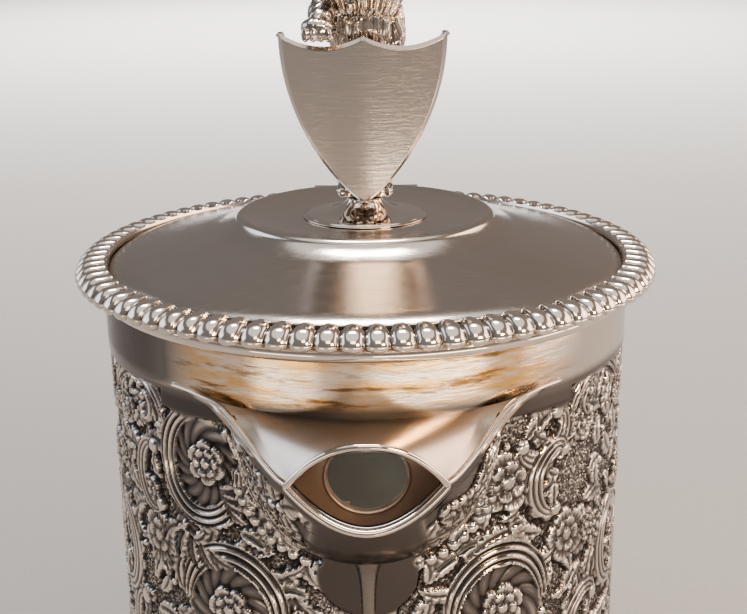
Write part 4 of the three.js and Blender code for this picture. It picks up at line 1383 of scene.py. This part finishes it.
# ---- carried-over CAD nodes ----------------------------------------------------------------------------------------
def dress_cad_nodes():
    """Gives every CAD node that still shows a finished material, with rounded edges on the hinge's pieces."""
    for name, node in frame["nodes"].items():
        slot = next(s["material_slot"] for s in frame["record"]["subparts"] if s["node"] == name)
        node.data.materials.clear()
        node.data.materials.append(MATERIALS[slot])
        if name.startswith(("hinge_leaf", "hinge_knuckle")):
            add_modifier(node, "BEVEL", width=0.18 * MM, segments=2, limit_method="ANGLE", angle_limit=0.6)


# ---- stage ---------------------------------------------------------------------------------------------------------
def floor():
    half = 12000.0
    points = np.array([(-half, -half, -TOP), (half, -half, -TOP), (half, half, -TOP), (-half, half, -TOP)])
    ground = mesh_object("floor", points, np.array([[0, 1, 2, 3]]), smooth=False)
    ground.data.materials.append(floor_paper())


def area_light(name, place, target, size, power, colour):
    data = bpy.data.lights.new(name, "AREA")
    data.shape = "RECTANGLE"
    data.size, data.size_y = (s * MM for s in size)
    data.energy = power
    data.color = colour
    lamp = bpy.data.objects.new(name, data)
    bpy.context.scene.collection.objects.link(lamp)
    spot = (Vector(place) + Vector((0, AXIS_Y, TOP))) * MM
    aim = (Vector(target) + Vector((0, AXIS_Y, TOP))) * MM
    lamp.location = spot
    lamp.rotation_euler = (aim - spot).to_track_quat("-Z", "Y").to_euler()
    lamp.visible_camera = False
    return lamp


def lights():
    """A long ceiling light, a warm key in front on the right, and soft light on the floor behind."""
    area_light("ceiling", (0, 262, 950), (0, -30, 0), (420, 170), 2.6, (1.0, 0.91, 0.82))
    area_light("key_right", (330, -430, 250), (0, -20, -10), (200, 150), 1.5, (1.0, 0.70, 0.44))
    area_light("key_front", (30, -330, 330), (0, -10, 0), (200, 120), 0.2, (1.0, 0.84, 0.66))
    right = area_light("side_right", (1100, 250, 420), (0, 0, -30), (1300, 800), 2.6, (1.0, 0.76, 0.62))
    left = area_light("side_left", (-1100, 250, 420), (0, 0, -30), (1300, 800), 1.5, (0.86, 0.90, 1.0))
    area_light("table_right", (120, -270, -86), (0, -38, -5), (240, 50), 0.12, (1.0, 0.88, 0.70))
    area_light("table_left", (-140, -230, -86), (0, -38, -5), (120, 50), 0.034, (1.0, 0.84, 0.62))
    area_light("table_side", (310, -50, -84), (30, -20, -5), (180, 60), 0.07, (1.0, 0.80, 0.66))
    sky_light("overhead", 0.55, math.radians(70))
    floor_light = area_light("floor_light", (0, 1300, 2300), (0, 1350, -92), (900, 900), 13.0, (1.0, 0.98, 0.96))
    floor_light.data.spread = math.radians(54)
    for wall in (left, right):
        wall.data.spread = math.radians(110)
    inside_glow("drum_glow", (0, 8, -34), 24, 0.0072, (0.74, 0.90, 1.0))
    inside_glow("spout_glow", (0, -42.5, -13.0), 1.2, 0.0007, (1.0, 0.95, 0.90))


def sky_light(name, strength, angle):
    """Even light from straight above."""
    data = bpy.data.lights.new(name, "SUN")
    data.energy = strength
    data.angle = angle
    data.color = (1.0, 0.98, 0.96)
    bpy.context.scene.collection.objects.link(bpy.data.objects.new(name, data))


def inside_glow(name, place, radius, power, colour):
    """A faint light inside the jug, standing in for the daylight that the mouth lets in."""
    data = bpy.data.lights.new(name, "POINT")
    data.shadow_soft_size = radius * MM
    data.energy = power
    data.color = colour
    lamp = bpy.data.objects.new(name, data)
    bpy.context.scene.collection.objects.link(lamp)
    lamp.location = (Vector(place) + Vector((0, AXIS_Y, TOP))) * MM
    lamp.visible_camera = False


def surroundings():
    """A dim plain room, warmer on the right than on the left."""
    world = bpy.data.worlds.new("room")
    world.use_nodes = True
    bpy.context.scene.world = world
    tree = world.node_tree
    place = tree.nodes.new("ShaderNodeTexCoord")
    split = tree.nodes.new("ShaderNodeSeparateXYZ")
    side = tree.nodes.new("ShaderNodeMapRange")
    side.inputs["From Min"].default_value = -0.8
    side.inputs["From Max"].default_value = 0.8
    ramp = tree.nodes.new("ShaderNodeValToRGB")
    ramp.color_ramp.elements[0].color = (0.20, 0.20, 0.205, 1)
    ramp.color_ramp.elements[1].color = (0.27, 0.225, 0.20, 1)
    tree.links.new(place.outputs["Generated"], split.inputs["Vector"])
    tree.links.new(split.outputs["X"], side.inputs["Value"])
    tree.links.new(side.outputs["Result"], ramp.inputs["Fac"])
    tree.links.new(ramp.outputs["Color"], tree.nodes["Background"].inputs["Color"])


def camera():
    """The photograph's own view: close, a little above the lid, looking down on the spout."""
    data = bpy.data.cameras.new("camera")
    data.sensor_width = 36
    data.lens = 63.56
    data.clip_start = 0.005
    made = bpy.data.objects.new("camera", data)
    bpy.context.scene.collection.objects.link(made)
    made.location = (0.9 * MM, (AXIS_Y - 188.3) * MM, (TOP + 51.2) * MM)
    made.rotation_euler = Euler((math.radians(90 - 17.1), math.radians(0.6), math.radians(-0.24)), "XYZ")
    bpy.context.scene.camera = made


camera()
floor()
lights()
surroundings()

body_wall()
window_edge()
foot_rim()
rim_wire()
base_plate()
spout_hood()
hood_folds()
spout_bowl()
lip_wire()
spout_drop()
lid_plate()
lid_border()
lid_bezel()
finial_plinth()
shield()
lion()
lion_tail()
handle_grip()
thumb_rest()
handle_ends()
dress_cad_nodes()

bpy.context.scene.view_settings.view_transform = "AgX"
bpy.context.scene.view_settings.look = "AgX - High Contrast"
